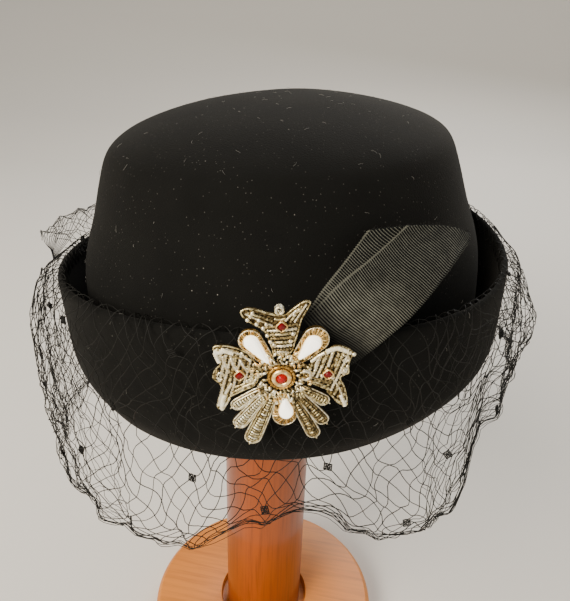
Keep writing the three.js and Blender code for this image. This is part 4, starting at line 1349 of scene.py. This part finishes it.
def makeBeads(draw):
    layer, radius = brooch["layer"], brooch["beadRadius"]
    ring = brooch["rosetteRadius"] + brooch["beadGap"] + radius
    for number, angle in enumerate(beadAngles, 1):
        at = Matrix.Rotation(math.radians(angle), 4, "Z") @ Vector((ring, 0, 0))
        bm = bmesh.new()
        addBead(bm, at.x, at.y, layer + radius, radius)
        finish = draw.choice((pale, pale, pale, silver, gilt))
        bead = addPiece(f"metal_bead_{number}", bm, panel, [wires[finish]])
        settle(bead, "silver_thread", f"brooch_bead_{number}")
    bm = bmesh.new()
    for x, y in leafBeads:
        addBead(bm, x, y, layer + brooch["leafThickness"] + 0.3, radius * 0.75)
    settle(addPiece("leaf_beads", bm, panel, [wires[pale]]), "silver_thread")
    curve = startStrands("loose_bullion", wires, sides=6)
    for i in range(bits["count"]):
        angle = 2 * math.pi * (i + draw.uniform(-0.3, 0.3)) / bits["count"]
        reach = draw.uniform(bits["nearest"], bits["farthest"])
        middle = Vector((reach * math.cos(angle), reach * math.sin(angle), layer + bits["height"]))
        turn = angle + draw.uniform(-0.9, 0.9)
        length = draw.uniform(bits["shortest"], bits["longest"])
        half = Vector((math.cos(turn), math.sin(turn), 0)) * length
        rise = Vector((0, 0, draw.uniform(0.3, 0.8)))
        finish = draw.choice((pale, pale, pale, silver, silver, tarnish, gilt))
        addPurl(curve, [middle - half, middle + rise, middle + half], bits["radius"], finish)
    settle(strandsPiece(curve, panel), "silver_thread")
    curve = startStrands("top_knot", wires, sides=6)
    for turn in range(bits["knobTurns"]):
        ring = circle(0.1, bits["knobAt"], bits["knobRadius"], layer + 0.8 + turn * 0.7)
        addPurl(curve, ring, bits["knobCoil"], pale, closed=True)
    settle(strandsPiece(curve, panel), "silver_thread", "brooch_knob")


def makeBrooch():
    for name in leaves:
        makeLeaf(name)
    for number, facts in enumerate(petals, 1):
        makePetal(number, *facts)
    for number, facts in enumerate(drops, 1):
        makeDrop(number, *facts)
    makeCentre()
    for number, facts in enumerate(squares, 1):
        makeSquare(number, *facts)
    makeBeads(random.Random(11))


makeBrooch()
print("brooch made")


# Varnished softwood: a warm orange brown under a gloss coat, with long streaks and ovals
def postMaterial():
    material, tree, shader = startMaterial("varnished_pine", {
        "Roughness": 0.42, "Specular IOR Level": 0.3, "Coat Weight": 0.35, "Coat Roughness": 0.12,
    })
    coords = addNode(tree, "TexCoord").outputs["Object"]
    ringWidth, ovalLength = 0.0045, 8
    drawn = addNode(tree, "Mapping", {}, {
        "Vector": coords, "Location": (0.019, 0.012, 0), "Rotation": (0.05, 0.03, 0),
        "Scale": (1, 1, 1 / ovalLength),
    })
    warp = addNode(tree, "TexNoise", {}, {
        "Vector": drawn.outputs[0], "Scale": 1 / 0.03, "Detail": 3,
    })
    rings = addNode(tree, "TexWave", {"wave_type": "RINGS", "rings_direction": "Z"}, {
        "Vector": drawn.outputs[0], "Scale": 1 / ringWidth / 20, "Distortion": 3.5,
        "Detail": 3, "Detail Scale": 1.2, "Phase Offset": 1.3,
    })
    fine = addNode(tree, "TexNoise", {}, {
        "Vector": addNode(tree, "Mapping", {}, {
            "Vector": coords, "Scale": (1, 1, 0.04),
        }).outputs[0], "Scale": 1 / 0.0012, "Detail": 4,
    })
    base = mixColours(tree, rings.outputs[1], colour("#8e3a00"), colour("#5c2200"))
    spread = mixColours(tree, warp.outputs[0], base, colour("#a84f03"))
    streak = addNode(tree, "MapRange", {}, {
        "Value": fine.outputs[0], "From Min": 0.45, "From Max": 0.75, "To Max": 0.55,
    })
    shade = mixColours(tree, streak.outputs[0], spread, colour("#642e0c"))
    tree.links.new(shade, shader.inputs["Base Color"])
    return material


# Pale beech, waxed: fine straight grain along X and short darker flecks
def beechMaterial():
    material, tree, shader = startMaterial("waxed_beech", {
        "Roughness": 0.5, "Coat Weight": 0.25, "Coat Roughness": 0.3,
    })
    coords = addNode(tree, "TexCoord").outputs["Object"]
    drawn = addNode(tree, "Mapping", {}, {"Vector": coords, "Scale": (0.06, 1, 1)})
    grain = addNode(tree, "TexNoise", {}, {
        "Vector": drawn.outputs[0], "Scale": 1 / 0.0025, "Detail": 5, "Roughness": 0.6,
    })
    broad = addNode(tree, "TexNoise", {}, {
        "Vector": drawn.outputs[0], "Scale": 1 / 0.02, "Detail": 2,
    })
    base = mixColours(tree, broad.outputs[0], colour("#e08c2e"), colour("#cc751f"))
    lines = addNode(tree, "MapRange", {}, {
        "Value": grain.outputs[0], "From Min": 0.42, "From Max": 0.7, "To Max": 0.6,
    })
    shade = mixColours(tree, lines.outputs[0], base, colour("#ae611c"))
    tree.links.new(shade, shader.inputs["Base Color"])
    bump = addNode(tree, "Bump", {}, {
        "Height": grain.outputs[0], "Strength": 0.12, "Distance": 0.0003,
    })
    tree.links.new(bump.outputs[0], shader.inputs["Normal"])
    return material


stand = {"steps": 128, "edge": 2.5, "recessRadius": 27.6, "recessDepth": 6, "capEdge": 5,
         "capCrown": 14, "socketDepth": 8, "socketGap": 0.3, "soften": 0.5}


# A turned piece from the half outline [radius, height] of its closed section, in millimetres
def turnedPiece(name, outline, material, softened):
    bm = bmesh.new()
    verts = [bm.verts.new((radius, 0, height)) for radius, height in outline]
    edges = [bm.edges.new(pair) for pair in zip(verts, verts[1:])]
    bmesh.ops.spin(
        bm, geom=verts + edges, axis=(0, 0, 1), angle=2 * math.pi,
        steps=stand["steps"], use_merge=True,
    )
    bmesh.ops.remove_doubles(bm, verts=bm.verts, dist=0.001)
    bmesh.ops.recalc_face_normals(bm, faces=bm.faces)
    sharp = [e for e in bm.edges if len(e.link_faces) == 2 and e.calc_face_angle() > 0.6]
    bmesh.ops.bevel(
        bm, geom=sharp, offset=softened, segments=3, profile=0.5, affect="EDGES", material=-1,
    )
    return addPiece(name, bm, Matrix.Scale(mm, 4), [material])


def makeStand():
    beech = beechMaterial()
    _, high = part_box("stand_base")
    radius, top = high.x / mm, high.z / mm
    edge, floor = stand["edge"], top - stand["recessDepth"]
    foot = turnedPiece("stand_foot", [
        (0, 0), (radius - edge, 0), (radius, edge), (radius, top - edge), (radius - edge, top),
        (stand["recessRadius"], top), (stand["recessRadius"], floor), (0, floor),
    ], beech, stand["soften"])
    settle(foot, "base_wood", "stand_base")
    low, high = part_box("stand_post")
    radius = high.x / mm
    post = turnedPiece("stand_rod", [
        (0, low.z / mm), (radius, low.z / mm), (radius, high.z / mm), (0, high.z / mm),
    ], postMaterial(), stand["soften"])
    settle(post, "post_wood", "stand_post")
    low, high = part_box("stand_cap")
    under, top, wide = low.z / mm, high.z / mm, high.x / mm
    socket, ceiling = radius + stand["socketGap"], low.z / mm + stand["socketDepth"]
    outline = [(0, ceiling), (socket, ceiling), (socket, under), (wide, under)]
    for share in (1, 0.8, 0.6, 0.4, 0.2, 0):
        outline.append((share * wide, top - stand["capCrown"] * share ** 2))
    cap = turnedPiece("stand_head", outline, beech, stand["soften"])
    settle(cap, "base_wood", "stand_cap")


makeStand()
print("stand made")
